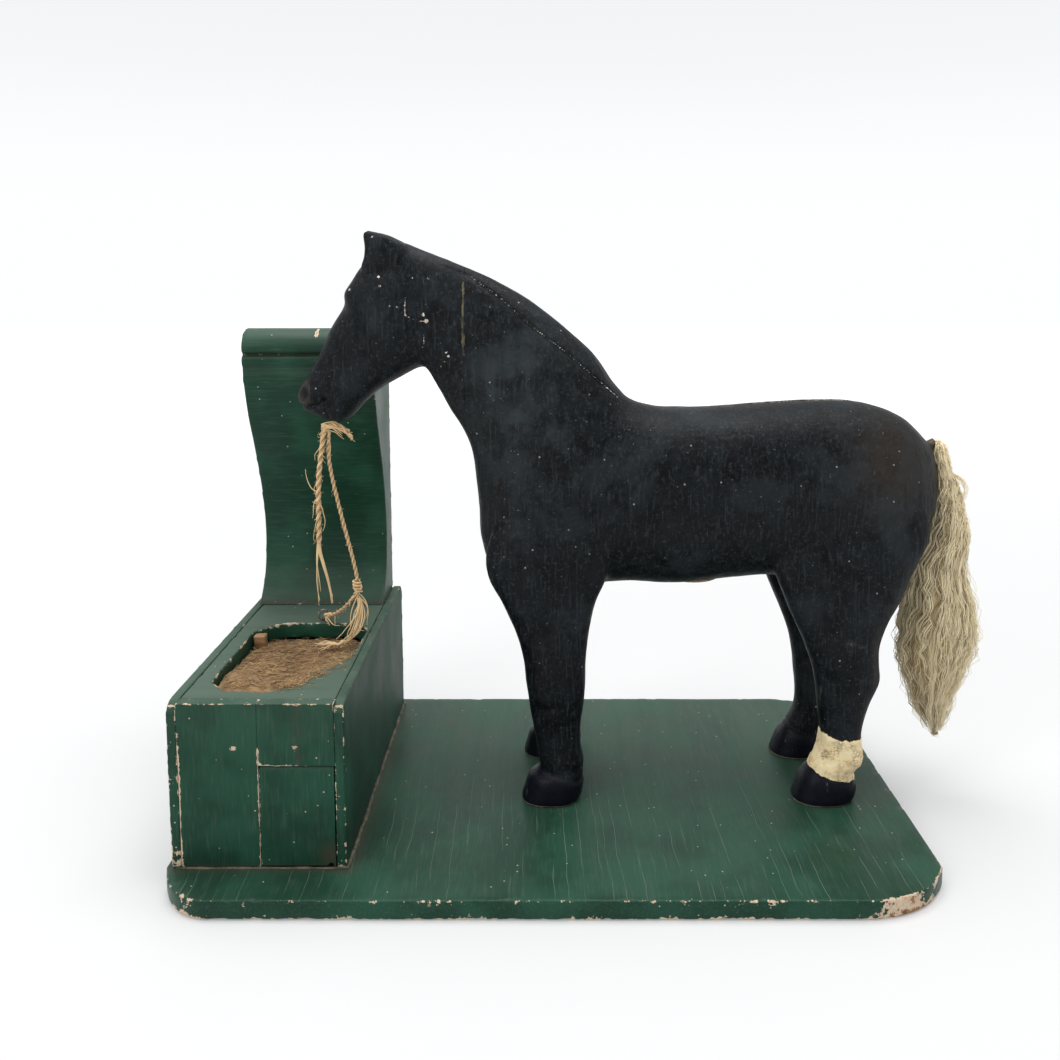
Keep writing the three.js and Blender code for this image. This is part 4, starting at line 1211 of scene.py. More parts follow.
def nostril_ring(x, z):
    """1 on the nostril's rim, and 0 in its middle."""
    return np.hypot((x + 137.4) / 3.8, (z - 234) / 5.0)


TAIL_TRIM = 0.75  # the share of the haunches' paring by which the tail hangs farther forward


def haunch_trim(z):
    """How far forward the buttocks, and the tail with them, are pared at a height, in mm."""
    return 6 * bell(z - 137, 17) + 4 * bell(z - 190, 17)


def horse_shapes():
    shapes = [carved_shape(HORSE_RIBS, 120, 420)]
    for side in (-1, 1):
        shapes.append(carved_shape(upright(FORE_LEG, side), 72, 240))
        shapes.append(carved_shape(upright(HIND_LEG, side), 72, 240))
        shapes.append(carved_shape(upright(EAR, side), 40, 60))
    return shapes


def blend_joins(mesh):
    """The legs and ears blended into the body, and the ridges of the remade surface eased."""
    points = read_vertices(mesh)
    x, _, z = points.T
    legs = smoothstep(88, 112, z) * smoothstep(190, 165, z) * smoothstep(-45, -30, x)
    ears = smoothstep(296, 303, z) * (x < -75)
    poll = smoothstep(292, 300, z) * smoothstep(-93, -86, x) * (x < -60)
    strength = np.clip(0.08 + 0.5 * legs + 0.4 * poll, 0, 0.55) * (1 - 0.75 * ears * (1 - poll))
    write_vertices(mesh, relaxed(points, read_edges(mesh), 22, strength))


def carved_head(points, x, off, z):
    """The rise of the cheeks, brows, eyes, nostrils, mouth, ears and mane."""
    lift = np.zeros(len(points))
    for line, depth, width, start in CARVED_CUTS:
        cut = bell(distance_to_line(points[:, [0, 2]], line), width)
        lift -= depth * cut * smoothstep(start, start + 6, off)
    eye = np.hypot((x + 92) / 5.2, (z - 284) / 8.2)
    lift += (0.75 * bell(eye - 1, 0.28) + 0.45 * bell(eye, 0.5)) * smoothstep(8, 12, off)
    lift += 0.6 * bell(nostril_ring(x, z) - 1, 0.3) * smoothstep(5, 9, off)
    lift -= 1.6 * bell(x + 104.5, 3) * bell(z - 312, 6) * bell(off - 8.2, 2.4)  # the hollow front of the ear

    above = -below_line(x, z, CREST_LINE)
    band = smoothstep(-0.5, 0.9, above) * smoothstep(-64, -58, x) * smoothstep(38, 26, x)
    lift += 0.8 * band * smoothstep(1.5, 5, off)
    return lift - 0.32 * bell(above + 0.9, 1.1) * smoothstep(-58, -48, x) * smoothstep(36, 24, x)


def carved_legs(x, off, z):
    """The rise of the forearm's crease, the knees, the facets of the hocks, and the hooves."""
    fore = np.abs(x) < 25
    crease = bell(z - 110 - 0.04 * (x + 2) ** 2, 2.4) * smoothstep(17, 9, np.abs(x + 2))
    lift = -0.5 * crease * smoothstep(24, 30, off)
    knee = smoothstep(61, 68, z + 0.12 * (x - 3)) * smoothstep(92, 80, z)
    lift += 0.7 * knee * fore * smoothstep(30, 36, off)
    lift -= 0.4 * bell(z - 64 - 0.1 * x, 2.6) * fore * smoothstep(30, 35, off)
    above_hock = z - 84 + 0.16 * (x - 150)
    hind = smoothstep(118, 126, x) * (z < 130) * smoothstep(30, 36, off)
    lift += (0.8 * bell(above_hock - 4, 6) - 0.5 * bell(above_hock + 3.4, 2.8)) * hind
    hoof = below_coronet(x, z)
    lift += 0.55 * smoothstep(-0.3, 1.2, hoof) * smoothstep(40, 34, z)
    return lift - 0.45 * bell(hoof + 1.0, 1.1) * (z < 40)


def sculpt_horse(mesh):
    """Carved details, raised and cut along the surface, and the haunches pared to their outline."""
    blend_joins(mesh)
    points = read_vertices(mesh)
    normals = read_normals(mesh)
    x, y, z = points.T
    off = np.abs(y - CENTRE_Y)
    lift = carved_head(points, x, off, z) + carved_legs(x, off, z)
    mirrored = np.column_stack([x, off, z])
    for centre, size, rise, squareness in CARVED_FORMS:
        away = (mirrored - np.array(centre)) / np.array(size)
        lift += rise * np.exp(-np.sum(np.abs(away) ** squareness, axis=1))

    # knife work: shallow flats and long grain ridges, and the sock's thick paint
    lift += 0.36 * Lattice(3).at(points, (15, 12, 24), 2)
    lift += 0.14 * Lattice(4).at(points, (4, 4, 14), 2)
    sock = smoothstep(-0.2, 0.6, inside_sock(x, z)) * (x > 120) * (y < CENTRE_Y) * (z < 60)
    lift += sock * (0.65 + 0.4 * Lattice(5).at(points, (2.6, 2.6, 3.4), 2))
    lift *= (1 - 0.5 * np.abs(normals[:, 2])) * (0.25 + 0.75 * smoothstep(FLOOR_Z + 0.2, FLOOR_Z + 3, z))
    points = points + normals * lift[:, None]
    points[:, 0] -= haunch_trim(z) * smoothstep(174, 200, x)
    points[:, 2] -= 2.0 * bell(x - 205, 9) * smoothstep(190, 212, z)
    points[:, 2] = np.where(z < FLOOR_Z + 0.6, z, np.maximum(points[:, 2], FLOOR_Z))
    write_vertices(mesh, points)


def horse_dust_and_belly_shade(points, x, z, up):
    level = 0.6 + 0.5 * Lattice(6).at(points, (45, 20, 5), 2)
    upright_streaks = 0.6 + 0.5 * Lattice(7).at(points, (4, 8, 40), 2)
    barrel = smoothstep(10, 50, x) * smoothstep(205, 170, x) * bell(z - 205, 13)
    dust = 0.06 * barrel * smoothstep(0.05, 0.5, up) * level
    dust += 0.05 * smoothstep(0.5, 0.95, up) * (z > 120)
    dust += 0.75 * bell(x + 24, 27) * bell(z - 240, 36) * upright_streaks * smoothstep(-56, -46, x)
    dust += 0.22 * bell(x + 62, 14) * bell(z - 292, 18)
    dust += 0.5 * bell(x - 182, 26) * bell(z - 190, 26) * level
    # less dust under the belly, so it reads darker: painted shade
    belly_shadow = smoothstep(150, 128, z) * (x > 40) * (x < 125)
    return np.clip(dust - 0.2 * belly_shadow, 0, 1)


def horse_chips_and_slot_highlight(points, x, y, z):
    """How far inside a crack, a chip or the painted highlight on the coin slot's lips each point is, in mm;
    far outside them it is -9.
    """
    flat = points[:, [0, 2]]
    chip_and_highlight = np.full(len(points), -9.0)
    for line, width in (
        (CHEEK_MARK, 0.3), (CHEEK_MARK_LOWER, 0.2), (CREST_LINE[1:], 0.22), (JOINT_CRACK, -0.2),
    ):
        chip_and_highlight = np.maximum(chip_and_highlight, width - distance_to_line(flat, line))
    for chip_x, chip_z, radius in CHEEK_CHIPS:
        chip_and_highlight = np.maximum(chip_and_highlight, radius * 0.75 - np.hypot(x - chip_x, z - chip_z))
    chip_and_highlight = np.where(y < CENTRE_Y, chip_and_highlight, -9)
    upper_brow = np.hypot((x + 111) / 1.2, (z - 290) / 2.0)
    lower_brow = np.hypot((x + 110.4) / 1.2, (z - 284.5) / 2.2)
    chip_and_highlight = np.maximum(chip_and_highlight, np.where(np.abs(y - 2) < 4, 0.6 - np.minimum(upper_brow, lower_brow), -9))
    # the coin slot's lips: a painted highlight, with some wear
    within_slot = (x > COIN_SLOT["start"]) & (x < COIN_SLOT["end"]) & (z > 220)
    slot_lip_highlight = 0.1 - np.abs(np.abs(y - CENTRE_Y) - COIN_SLOT["half"])
    return np.clip(np.maximum(chip_and_highlight, np.where(within_slot, slot_lip_highlight, -9)), -9, 3)


def paint_horse(mesh):
    """The attributes that tell the black paint where hooves, sock, dust, damage, a painted highlight on the
    coin slot's lips and painted shade under the belly are.
    """
    points = read_vertices(mesh)
    x, y, z = points.T
    near = y < CENTRE_Y
    brown = 0.5 * bell(x - 182, 22) * bell(z - 200, 24) + 0.5 * bell(x - 178, 4) * bell(z - 88, 9)
    brown += 0.6 * bell(nostril_ring(x, z) - 1, 0.35) * (x < -134)
    strip = np.minimum(0.65 - np.abs(x - NECK_JOINT_X + 0.3), np.minimum(z - 255, 296 - z) * 0.3)
    for label, values in (
        ("hoof", np.clip(below_coronet(x, z), -5, 5)),
        ("sock", np.clip(np.where((x > 120) & near & (z < 60), inside_sock(x, z), -5), -5, 5)),
        ("dust", horse_dust_and_belly_shade(points, x, z, np.clip(read_normals(mesh)[:, 2], 0, 1))),
        ("brown", np.clip(brown, 0, 1)),
        ("chip_and_highlight", horse_chips_and_slot_highlight(points, x, y, z)),
        ("joint", np.clip(np.where(near & (z > 240), strip, -9), -9, 2)),
    ):
        write_attribute(mesh, label, values)


def hollow_tools():
    """The coin slot, the coin box and the plug hole below it, as shapes to cut away."""
    tools = []
    for hollow, top in ((COIN_SLOT, 245), (COIN_BOX, COIN_BOX["top"])):
        low = (hollow["start"], CENTRE_Y - hollow["half"], hollow["bottom"])
        tools.append(block_object("hollow", low, (hollow["end"], CENTRE_Y + hollow["half"], top)))
    ends = [(PLUG["x"], CENTRE_Y, 100.0), (PLUG["x"], CENTRE_Y, COIN_BOX["bottom"] + 5)]
    return tools + [weld(mesh_object("hole", *tube_shape(np.array(ends), PLUG["radius"], 64)))]


def make_horse(paint, wood):
    whole = merged_union("carved_horse", horse_shapes(), 1.0)
    cut_by(whole, block_object("below", (-400, -200, -60), (400, 200, FLOOR_Z)))
    sculpt_horse(whole.data)
    for tool in hollow_tools():
        cut_by(whole, tool)

    gap = 0.05
    far = 500
    parts = (
        ("carved_head", (-far, -far, -far), (NECK_JOINT_X - gap, far, far), "horse_head"),
        ("carved_near_half", (NECK_JOINT_X + gap, -far, -far), (far, CENTRE_Y - gap, far), "horse_near_half"),
        ("carved_far_half", (NECK_JOINT_X + gap, CENTRE_Y + gap, -far), (far, far, far), "horse_far_half"),
    )
    for name, low, high, node in parts:
        piece = bpy.data.objects.new(name, whole.data.copy())
        piece.data.name = name
        bpy.context.scene.collection.objects.link(piece)
        cut_by(piece, block_object("keep", low, high), "INTERSECT")
        mesh = piece.data
        mesh.polygons.foreach_set("use_smooth", [True] * len(mesh.polygons))
        paint_horse(mesh)
        mesh.set_sharp_from_angle(angle=math.radians(48))
        mesh.materials.clear()
        mesh.materials.append(paint)
        show_as(piece, "stand", "black_paint", node)
    remove_object(whole)
    for name, y, z, front in (("near", CENTRE_Y - 8, 240, -58.5), ("far", CENTRE_Y + 8, 272, -63)):
        dowel = mesh_object(f"dowel_{name}", *tube_shape(np.array([(front, y, z), (-35, y, z)]), 4, 24), wood)
        show_as(dowel, "stand", "bare_wood", f"neck_dowel_{name}")


# ---------------------------------------------------------------- tail
def tail_route(angle, depth, wave, rng, start=0.0, end=1.0):
    """One lock of hair from the peg down: angle places it round the tail and depth inside it."""
    where = np.linspace(start, end, 34)
    ribs = upright(TAIL_RIBS)
    back = smooth_route([(r[0], r[4], r[1]) for r in ribs], where)
    front = smooth_route([(r[2], 0, r[3]) for r in ribs], where)
    middle = (back + front) / 2
    half = (back[:, 0] - front[:, 0]) / 2
    turn = angle + 0.35 * np.sin(where * 2.2 + rng.uniform(0, 6.3))
    x = middle[:, 0] + half * depth * np.cos(turn)
    y = CENTRE_Y + np.maximum(back[:, 1], 0) * depth * np.sin(turn)
    z = middle[:, 2]
    route = np.column_stack([x - TAIL_TRIM * haunch_trim(z), y, z])
    phase = rng.uniform(0, 6.3, 3)
    along = np.linspace(0, 1, len(where))
    size = wave * smoothstep(0.02, 0.25, along)
    crimp = 2 * math.pi * along * 175 * (end - start) / rng.uniform(9, 15)
    route[:, 0] += size * np.sin(crimp + phase[0])
    route[:, 1] += size * np.sin(crimp + phase[1])
    route[:, 0] += 1.6 * size * np.sin(0.31 * crimp + phase[2])
    return route


def make_tail(hair):
    rng = np.random.default_rng(70)
    core = weld(mesh_object("tail_core", *carved_shape(upright(TAIL_RIBS), 72, 200, 1.0), hair))
    points = read_vertices(core.data)
    angle = np.arctan2(points[:, 1] - CENTRE_Y, points[:, 0] - 220)
    grooves = Lattice(71).at(np.column_stack([angle * 14, angle * 3, points[:, 2]]), (2.6, 3, 60), 2)
    points -= read_normals(core.data) * (2.6 - 1.0 * grooves)[:, None]
    points[:, 0] -= TAIL_TRIM * haunch_trim(points[:, 2])
    write_vertices(core.data, points)
    # the core's low tone, lowest in its grooves: painted shade under the locks
    write_attribute(core.data, "tone", 0.2 + 0.2 * grooves)
    show_as(core, "tail", "hair", "tail")
    for part in ("inner", "outer"):
        locks = strands_object(f"tail_locks_{part}", tail_locks(part, rng), hair, 3, 0.3)
        show_as(locks, "tail", "hair")
    loose = loose_hairs(rng) + curled_hairs(rng) + root_hairs(rng)
    show_as(strands_object("tail_frizz", loose, hair, 3, 0.3), "tail", "hair")


def tail_locks(part, rng):
    """Crimped locks: strands that follow one wavy line and close up towards its end."""
    strands = []
    for index in range(46):
        angle = index * 2.4 + rng.uniform(-0.3, 0.3)
        start = 0.02 + (rng.uniform(0, 0.12) if index % 3 else rng.uniform(0.15, 0.5))
        depth = rng.uniform(0.6, 0.78) if part == "inner" else rng.uniform(0.8, 0.93)
        middle = tail_route(angle, depth, rng.uniform(0.5, 1.3), rng, start, rng.uniform(0.76, 1.0))
        # inner locks get darker tones than outer ones: painted shade inside the tail, over a random spread of
        # tone
        shade = rng.uniform(0.1, 0.6) if part == "inner" else rng.uniform(0.3, 0.95)
        along = np.linspace(0, 1, len(middle))
        spread = rng.uniform(1.6, 3.2) * (0.3 + 0.7 * np.sin(math.pi * np.minimum(along * 0.85 + 0.12, 1)))
        side, up = frames_along(middle)
        for _ in range(rng.integers(13, 21)):
            turn = rng.uniform(0, 6.3) + along * rng.uniform(0.5, 2.2)
            reach = (spread * rng.uniform(0.2, 1.0) ** 0.7)[:, None]
            hair_line = middle + reach * (side * np.cos(turn)[:, None] + up * np.sin(turn)[:, None])
            last = rng.integers(len(along) - 7, len(along) + 1)
            strands.append((
                hair_line[:last], rng.uniform(0.18, 0.42), np.clip(shade + rng.normal(0, 0.18), 0, 1.1)
            ))
    return strands


def loose_hairs(rng):
    """Short wavy hairs on the outside of the tail, most of them at the back."""
    strands = []
    for _ in range(460):
        angle = rng.normal(0, 1.1) if rng.random() < 0.6 else rng.uniform(0, 2 * math.pi)
        start = rng.uniform(0.03, 0.75)
        end = min(1.0, start + rng.uniform(0.1, 0.32))
        route = tail_route(angle, rng.uniform(0.93, 1.08), rng.uniform(0.7, 1.5), rng, start, end)
        strands.append((route[::2], rng.uniform(0.12, 0.24), rng.uniform(0.5, 1.0)))
    return strands


def curled_hairs(rng):
    """A thin curl that stands off the back of the tail's upper part."""
    curl = [
        (219, 8, 188), (223.5, 6, 187.4), (228, 5, 184.6), (231, 5, 180), (231.2, 5.5, 175), (229, 6, 171),
    ]
    strands = []
    for _ in range(16):
        bent = np.array(curl) + rng.normal(0, 0.7, 3) + rng.normal(0, 0.25, (len(curl), 3))
        strands.append((even_route(bent[:rng.integers(4, 7)], 1.0), 0.2, rng.uniform(0.6, 1.0)))
    return strands


def root_hairs(rng):
    """Thick hairs that leave the peg, bow outwards and lie down on the locks."""
    strands = []
    for _ in range(60):
        top = np.array([rng.uniform(213.5, 217.5), rng.normal(CENTRE_Y, 1.8), rng.uniform(203.5, 206.5)])
        foot = np.array([rng.uniform(217, 223), rng.normal(CENTRE_Y, 4), rng.uniform(180, 194)])
        bow = (top + foot) / 2 + (rng.uniform(1, 3.5), rng.normal(0, 1), rng.uniform(1, 3))
        route = even_route(np.array([top, bow, foot]), 1.2)
        strands.append((route, rng.uniform(0.3, 0.6), rng.uniform(0.45, 1.0)))
    return strands


# ---------------------------------------------------------------- hay
def hay_height(lattice, x, y):
    """The heap's height, lower towards the back."""
    flat = np.column_stack([x, y, np.zeros_like(x)])
    return 92 - (y + 74) * 0.075 + 0.8 * lattice.at(flat, 9, 3)


def make_hay(straw):
    rng = np.random.default_rng(80)
    lattice = Lattice(81)
    outline = rounded_outline(TROUGH, 3.5, 1.5)
    middle = np.array([-146.0, -14.0])
    show_as(hay_bed(straw, lattice, outline, middle), "stand", "hay", "hay")
    stalks = hay_stalks(rng, lattice, outline, middle)
    show_as(strands_object("hay_stalks", stalks, straw, 4, 0.6), "stand", "hay")
    show_as(strands_object("hay_chaff", hay_chaff(rng), straw, 4, 0.7), "stand", "hay")


def hay_bed(straw, lattice, outline, middle):
    """The closed heap under the stalks: rings that shrink towards its middle, over a flat base."""
    rings = 16
    count = len(outline)
    edge = inset(outline if signed_area(outline) > 0 else outline[::-1], 1.4)
    vertices = []
    for ring in range(rings):
        share = 1 - ring / rings
        flat = middle + (edge - middle) * share
        height = hay_height(lattice, flat[:, 0], flat[:, 1]) - 1.4 * smoothstep(0.8, 1.0, share)
        vertices.append(np.column_stack([flat, height]))
    lowest = vertices[0].copy()
    lowest[:, 2] = 74.4
    vertices += [[[*middle, float(hay_height(lattice, middle[:1], middle[1:])[0])]], lowest]
    faces = grid_faces(rings, count)
    peak, base = rings * count, rings * count + 1
    faces += [((rings - 1) * count + k, (rings - 1) * count + (k + 1) % count, peak) for k in range(count)]
    faces += [(base + (k + 1) % count, base + k, k, (k + 1) % count)[::-1] for k in range(count)]
    faces.append([base + k for k in range(count)])
    vertices = np.vstack(vertices)
    bed = weld(mesh_object("hay_bed", vertices, faces, straw, tone=0.25 + 0.2 * lattice.at(vertices, 4, 2)))
    with_modifier(bed, "SUBSURF", levels=1, render_levels=1, subdivision_type="SIMPLE")
    points = read_vertices(bed.data)
    points[:, 2] += 0.5 * lattice.at(points, 2.4, 3) * (points[:, 2] > 78)
    write_vertices(bed.data, points)
    return bed


def hay_stalks(rng, lattice, outline, middle):
    """Bent bits of straw scattered over the heap, all inside the trough."""
    strands = []
    low, high = outline.min(0), outline.max(0)
    inner = middle + (outline - middle) * 0.93
    steps = np.linspace(-0.5, 0.5, 7)[:, None]
    while len(strands) < 760:
        spot = rng.uniform(low, high)
        if not inside(spot, inner):
            continue
        size = rng.uniform(2.5, 9) if rng.random() < 0.88 else rng.uniform(10, 18)
        heading = rng.normal(0.2, 1.1)
        bend = rng.normal(0, 0.6) * size
        line = spot + size * steps * (math.cos(heading), math.sin(heading))
        line += bend * (steps**2) * (-math.sin(heading), math.cos(heading))
        if not all(inside(p, inner) for p in line[[0, -1]]):
            continue
        height = hay_height(lattice, line[:, 0], line[:, 1])
        z = height + rng.uniform(-0.1, 0.9) + rng.normal(0, 0.5) * steps[:, 0]
        tone_shares = {0.1: 0.25, 0.35: 0.3, 0.55: 0.25, 0.75: 0.15, 1.0: 0.05}
        strands.append((
            np.column_stack([line, z]), rng.uniform(0.08, 0.26),
            rng.choice(list(tone_shares), p=list(tone_shares.values())),
        ))
    return strands


def hay_chaff(rng):
    """Chaff and dust pushed over the front right rim of the trough."""
    strands = []
    steps = np.linspace(-0.5, 0.5, 4)[:, None]
    for _ in range(620):
        share = rng.uniform(0, 1)
        spot = np.array([-134 + 22 * share, -68 + 46 * share]) + rng.normal(0, 3.6, 2)
        if not (-150 < spot[0] < -108.5 and -80 < spot[1] < -18):
            continue
        heading = rng.normal(0.4, 0.8)
        line = spot + rng.uniform(1, 5) * steps * (math.cos(heading), math.sin(heading))
        route = np.column_stack([line, np.full(len(steps), MANGER["top"] - 0.1)])
        strands.append((route, rng.uniform(0.1, 0.22), rng.uniform(0.1, 0.7)))
    return strands


def inside(spot, outline):
    """Whether a point is inside a closed outline."""
    x, y = spot
    following = np.roll(outline, -1, 0)
    crosses = (outline[:, 1] > y) != (following[:, 1] > y)
    rise = np.where(following[:, 1] == outline[:, 1], 1e-9, following[:, 1] - outline[:, 1])
    at = outline[:, 0] + (y - outline[:, 1]) / rise * (following[:, 0] - outline[:, 0])
    return bool(np.count_nonzero(crosses & (x < at)) % 2)


# ---------------------------------------------------------------- twine
def strand(start, end, sag, rng, count=9, wander=0.5):
    """A loose fibre from start to end, sagging and wandering a little."""
    share = np.linspace(0, 1, count)[:, None]
    line = np.array(start) + (np.array(end) - np.array(start)) * share
    line += np.array(sag) * 4 * share * (1 - share)
    phase = rng.uniform(0, 6.3, 3)
    line += wander * share * np.sin(2.5 * math.pi * share + phase)
    return even_route(line, 0.9)


def knot_route(centre, size, turn):
    """A trefoil, the line of a simple overhand knot, scaled and turned about Z."""
    t = np.linspace(0, 2 * math.pi, 90)
    x, y, z = np.sin(t) + 2 * np.sin(2 * t), -np.sin(3 * t), np.cos(t) - 2 * np.cos(2 * t)
    shape = np.column_stack([x, y, z]) / 3 * np.array(size)
    c, s = math.cos(turn), math.sin(turn)
    shape = shape @ np.array([[c, s, 0], [-s, c, 0], [0, 0, 1]])
    return shape + np.array(centre)


def make_twine(twine):
    rng = np.random.default_rng(90)

    def cord_piece(name, points, radius, node, lobes=0.32, twist=0.85, sides=16):
        route = even_route(points, 0.6)
        piece = mesh_object(name, *tube_shape(route, radius, sides, lobes, twist), twine)
        along = np.repeat(np.arange(len(route)) * 0.6, sides)
        turn = np.tile(np.linspace(0, 2 * math.pi, sides, endpoint=False), len(route))
        # darker in the grooves between the two plies: painted shade; the sine adds streaks of fibre
        tone = 0.1 + 0.55 * np.abs(np.cos(turn - along * twist)) ** 2 + 0.3 * np.sin(7 * turn - along * 2.6)
        write_attribute(piece.data, "tone", np.append(tone, [0.5, 0.5]))
        show_as(piece, "stand", "twine", node)
        return piece, route

    def knot(name, centre, size, radius, turn, *nodes):
        piece = mesh_object(name, *tube_shape(knot_route(centre, size, turn), radius, 10, 0.25, 0.9), twine)
        write_attribute(piece.data, "tone", np.full(len(piece.data.vertices), 0.6))
        return show_as(piece, "stand", "twine", *nodes)

    def fibres(name, routes, radii, tones=None):
        tones = tones or [float(rng.uniform(0.4, 1.0)) for _ in routes]
        strands = list(zip(routes, np.broadcast_to(radii, len(routes)), tones))
        return show_as(strands_object(name, strands, twine, 5, 0.4), "stand", "twine")

    def fuzz(name, route, radius, count, reach, thickness):
        """Short fibres that stand off a cord."""
        hairs = []
        for _ in range(count):
            start = route[rng.integers(1, len(route) - 1)]
            away = rng.normal(0, 1, 3)
            away /= np.linalg.norm(away)
            end = start + away * (radius + rng.uniform(0.3, 1) * reach) + (0, 0, rng.uniform(-2.5, 1))
            hairs.append(strand(start + away * radius * 0.5, end, rng.normal(0, 0.25, 3), rng, 5, 0.2))
        return fibres(name, hairs, thickness)

    drop, drop_route = cord_piece("twine_drop", LEAD_DROP, LEAD_RADIUS, "lead_drop")
    to_eye, eye_route = cord_piece("twine_to_eye", LEAD_TO_EYE, LEAD_RADIUS, "lead_to_eye")
    frayed, frayed_route = cord_piece(
        "twine_frayed", FRAYED_DROP, FRAYED_RADIUS, "lead_frayed_end", lobes=0.4, twist=0.62, sides=20)
    wrap_line = np.array(LIP_WRAP) + (0, 0, 0.9)
    wrap, _ = cord_piece("twine_lip_wrap", wrap_line, 1.45, "lead_lip_wrap", 0.5, 0.6)
    lip_knot = knot("twine_knot_lip", (-127.4, 4.8, 213.8), (2.0, 1.7, 2.2), 0.8, 0.3)

    # twelve strands that bind the two lengths where they leave the mouth
    joined = []
    for index in range(12):
        away = np.array([math.cos(index * 2.1), 0.7 * math.sin(index * 2.1), 0])
        foot = (-129.9, 3.4, 192 + 1.6 * index) if index % 3 else (-126.4, 5.8, 197 + index)
        joined.append(strand(np.array([-127.3, 5, 215]) + away, foot + 0.8 * away, 0.3 * away, rng, 9, 0.3))
    joined = fibres("twine_joined_strands", joined, [float(rng.uniform(0.35, 0.62)) for _ in joined])
    lead_fuzz = fuzz("twine_fuzz_lead", drop_route, LEAD_RADIUS, 70, 1.6, 0.1)
    eye_fuzz = fuzz("twine_fuzz_eye", eye_route, LEAD_RADIUS, 30, 1.6, 0.1)
    frayed_fuzz = fuzz("twine_fuzz_frayed", frayed_route, FRAYED_RADIUS, 110, 2.4, 0.12)

    # the upper knot and the turns wound round it, then the knots on the hay and at the eye
    upper = knot("twine_knot_upper", (-112.6, 10, 119.8), (2.1, 1.8, 3.4), 0.8, 0.4, "lead_knot_upper")
    turns = np.linspace(0, 4.5 * 2 * math.pi, 120)
    coil = np.column_stack([2.0 * np.cos(turns), 1.8 * np.sin(turns), np.linspace(3.6, -3.4, 120)])
    coil[:, 0] -= 0.22 * coil[:, 2]
    coil += 0.25 * np.sin(turns[:, None] * (0.31, 0.47, 0.23)) + (-112.7, 10, 121)
    windings = fibres("twine_knot_windings", [coil], 0.6, [0.7])
    hay_end = knot("twine_knot_hay", (-120.2, -0.2, 90.6), (3.0, 2.0, 1.5), 0.95, 1.1, "lead_knot_hay")
    eye_end = knot("twine_knot_eye", (-134.2, 29.2, 97.2), (1.9, 1.6, 1.7), 0.85, 0.2)

    # the branch down to the hay: a loose bundle of strands instead of a laid cord
    bundle = []
    for index in range(9):
        turn = index * 0.7
        shift = np.array([math.cos(turn), math.sin(turn), 0]) * 0.75
        swell = np.array([math.cos(turn), math.sin(turn), 0.3]) * rng.uniform(0.6, 2.2)
        points = np.array(LEAD_TO_HAY)[::2] + shift
        points[2:-2] += swell * 0.8
        if index % 2:
            points[:, 0] += 3.0 * np.sin(math.pi * np.linspace(0, 1, len(points)))
        bundle.append(even_route(points, 0.8))
    loose = fibres("twine_loose_bundle", bundle, 0.46)
    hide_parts("lead_to_hay")

    def stray_set(name, strays, radii):
        """Single fibres, each (start, end, sag, points on it, wander)."""
        return fibres(name, [strand(*ends, rng, count, wander) for *ends, count, wander in strays], radii)

    upper_frays = stray_set("twine_frays_upper", [
        ((-112.5, 10, 116), (-106.8, 8, 98.5), (2.4, 0, 1), 11, 0.8),
        ((-111.8, 9.5, 117), (-108.6, 6, 101), (3.0, 0, 2), 11, 0.8),
        ((-112, 10, 117), (-116.5, 5, 96.5), (-1.5, -1, 0), 9, 0.6),
        ((-111, 9, 114), (-124, 0.5, 93.8), (3, -2, -1), 13, 0.5),
        ((-113.4, 9, 116), (-116.9, 8, 110.5), (-1.8, 0, 0), 9, 0.5),
    ], [0.36, 0.32, 0.3, 0.4, 0.34])

    tassel = []
    for _ in range(15):
        end = (rng.uniform(-136, -127), rng.uniform(-7, 3), rng.uniform(89.6, 91.0))
        start = (-122.5, rng.uniform(-1.6, 0.8), 90.6)
        tassel.append(strand(start, end, (0, 0, rng.uniform(0, 1.2)), rng, 9, 0.6))
    tassel.append(strand((-119, 1, 93), (-108.8, 5.5, 96.5), (0, 0, 1.6), rng))
    hay_frays = fibres("twine_frays_hay", tassel, 0.34)
    eye_frays = stray_set("twine_frays_eye", [
        ((-133.2, 28.4, 98), (-128.6, 22, 94.2), (1.5, 0, 2), 9, 0.5),
        ((-134.6, 28.2, 96.4), (-125, 19, 93.9), (0, -1, -0.6), 9, 0.6),
        ((-135.6, 29.4, 96.6), (-131.6, 24, 93.9), (-1, 0, -0.6), 9, 0.4),
    ], [0.4, 0.32, 0.3])

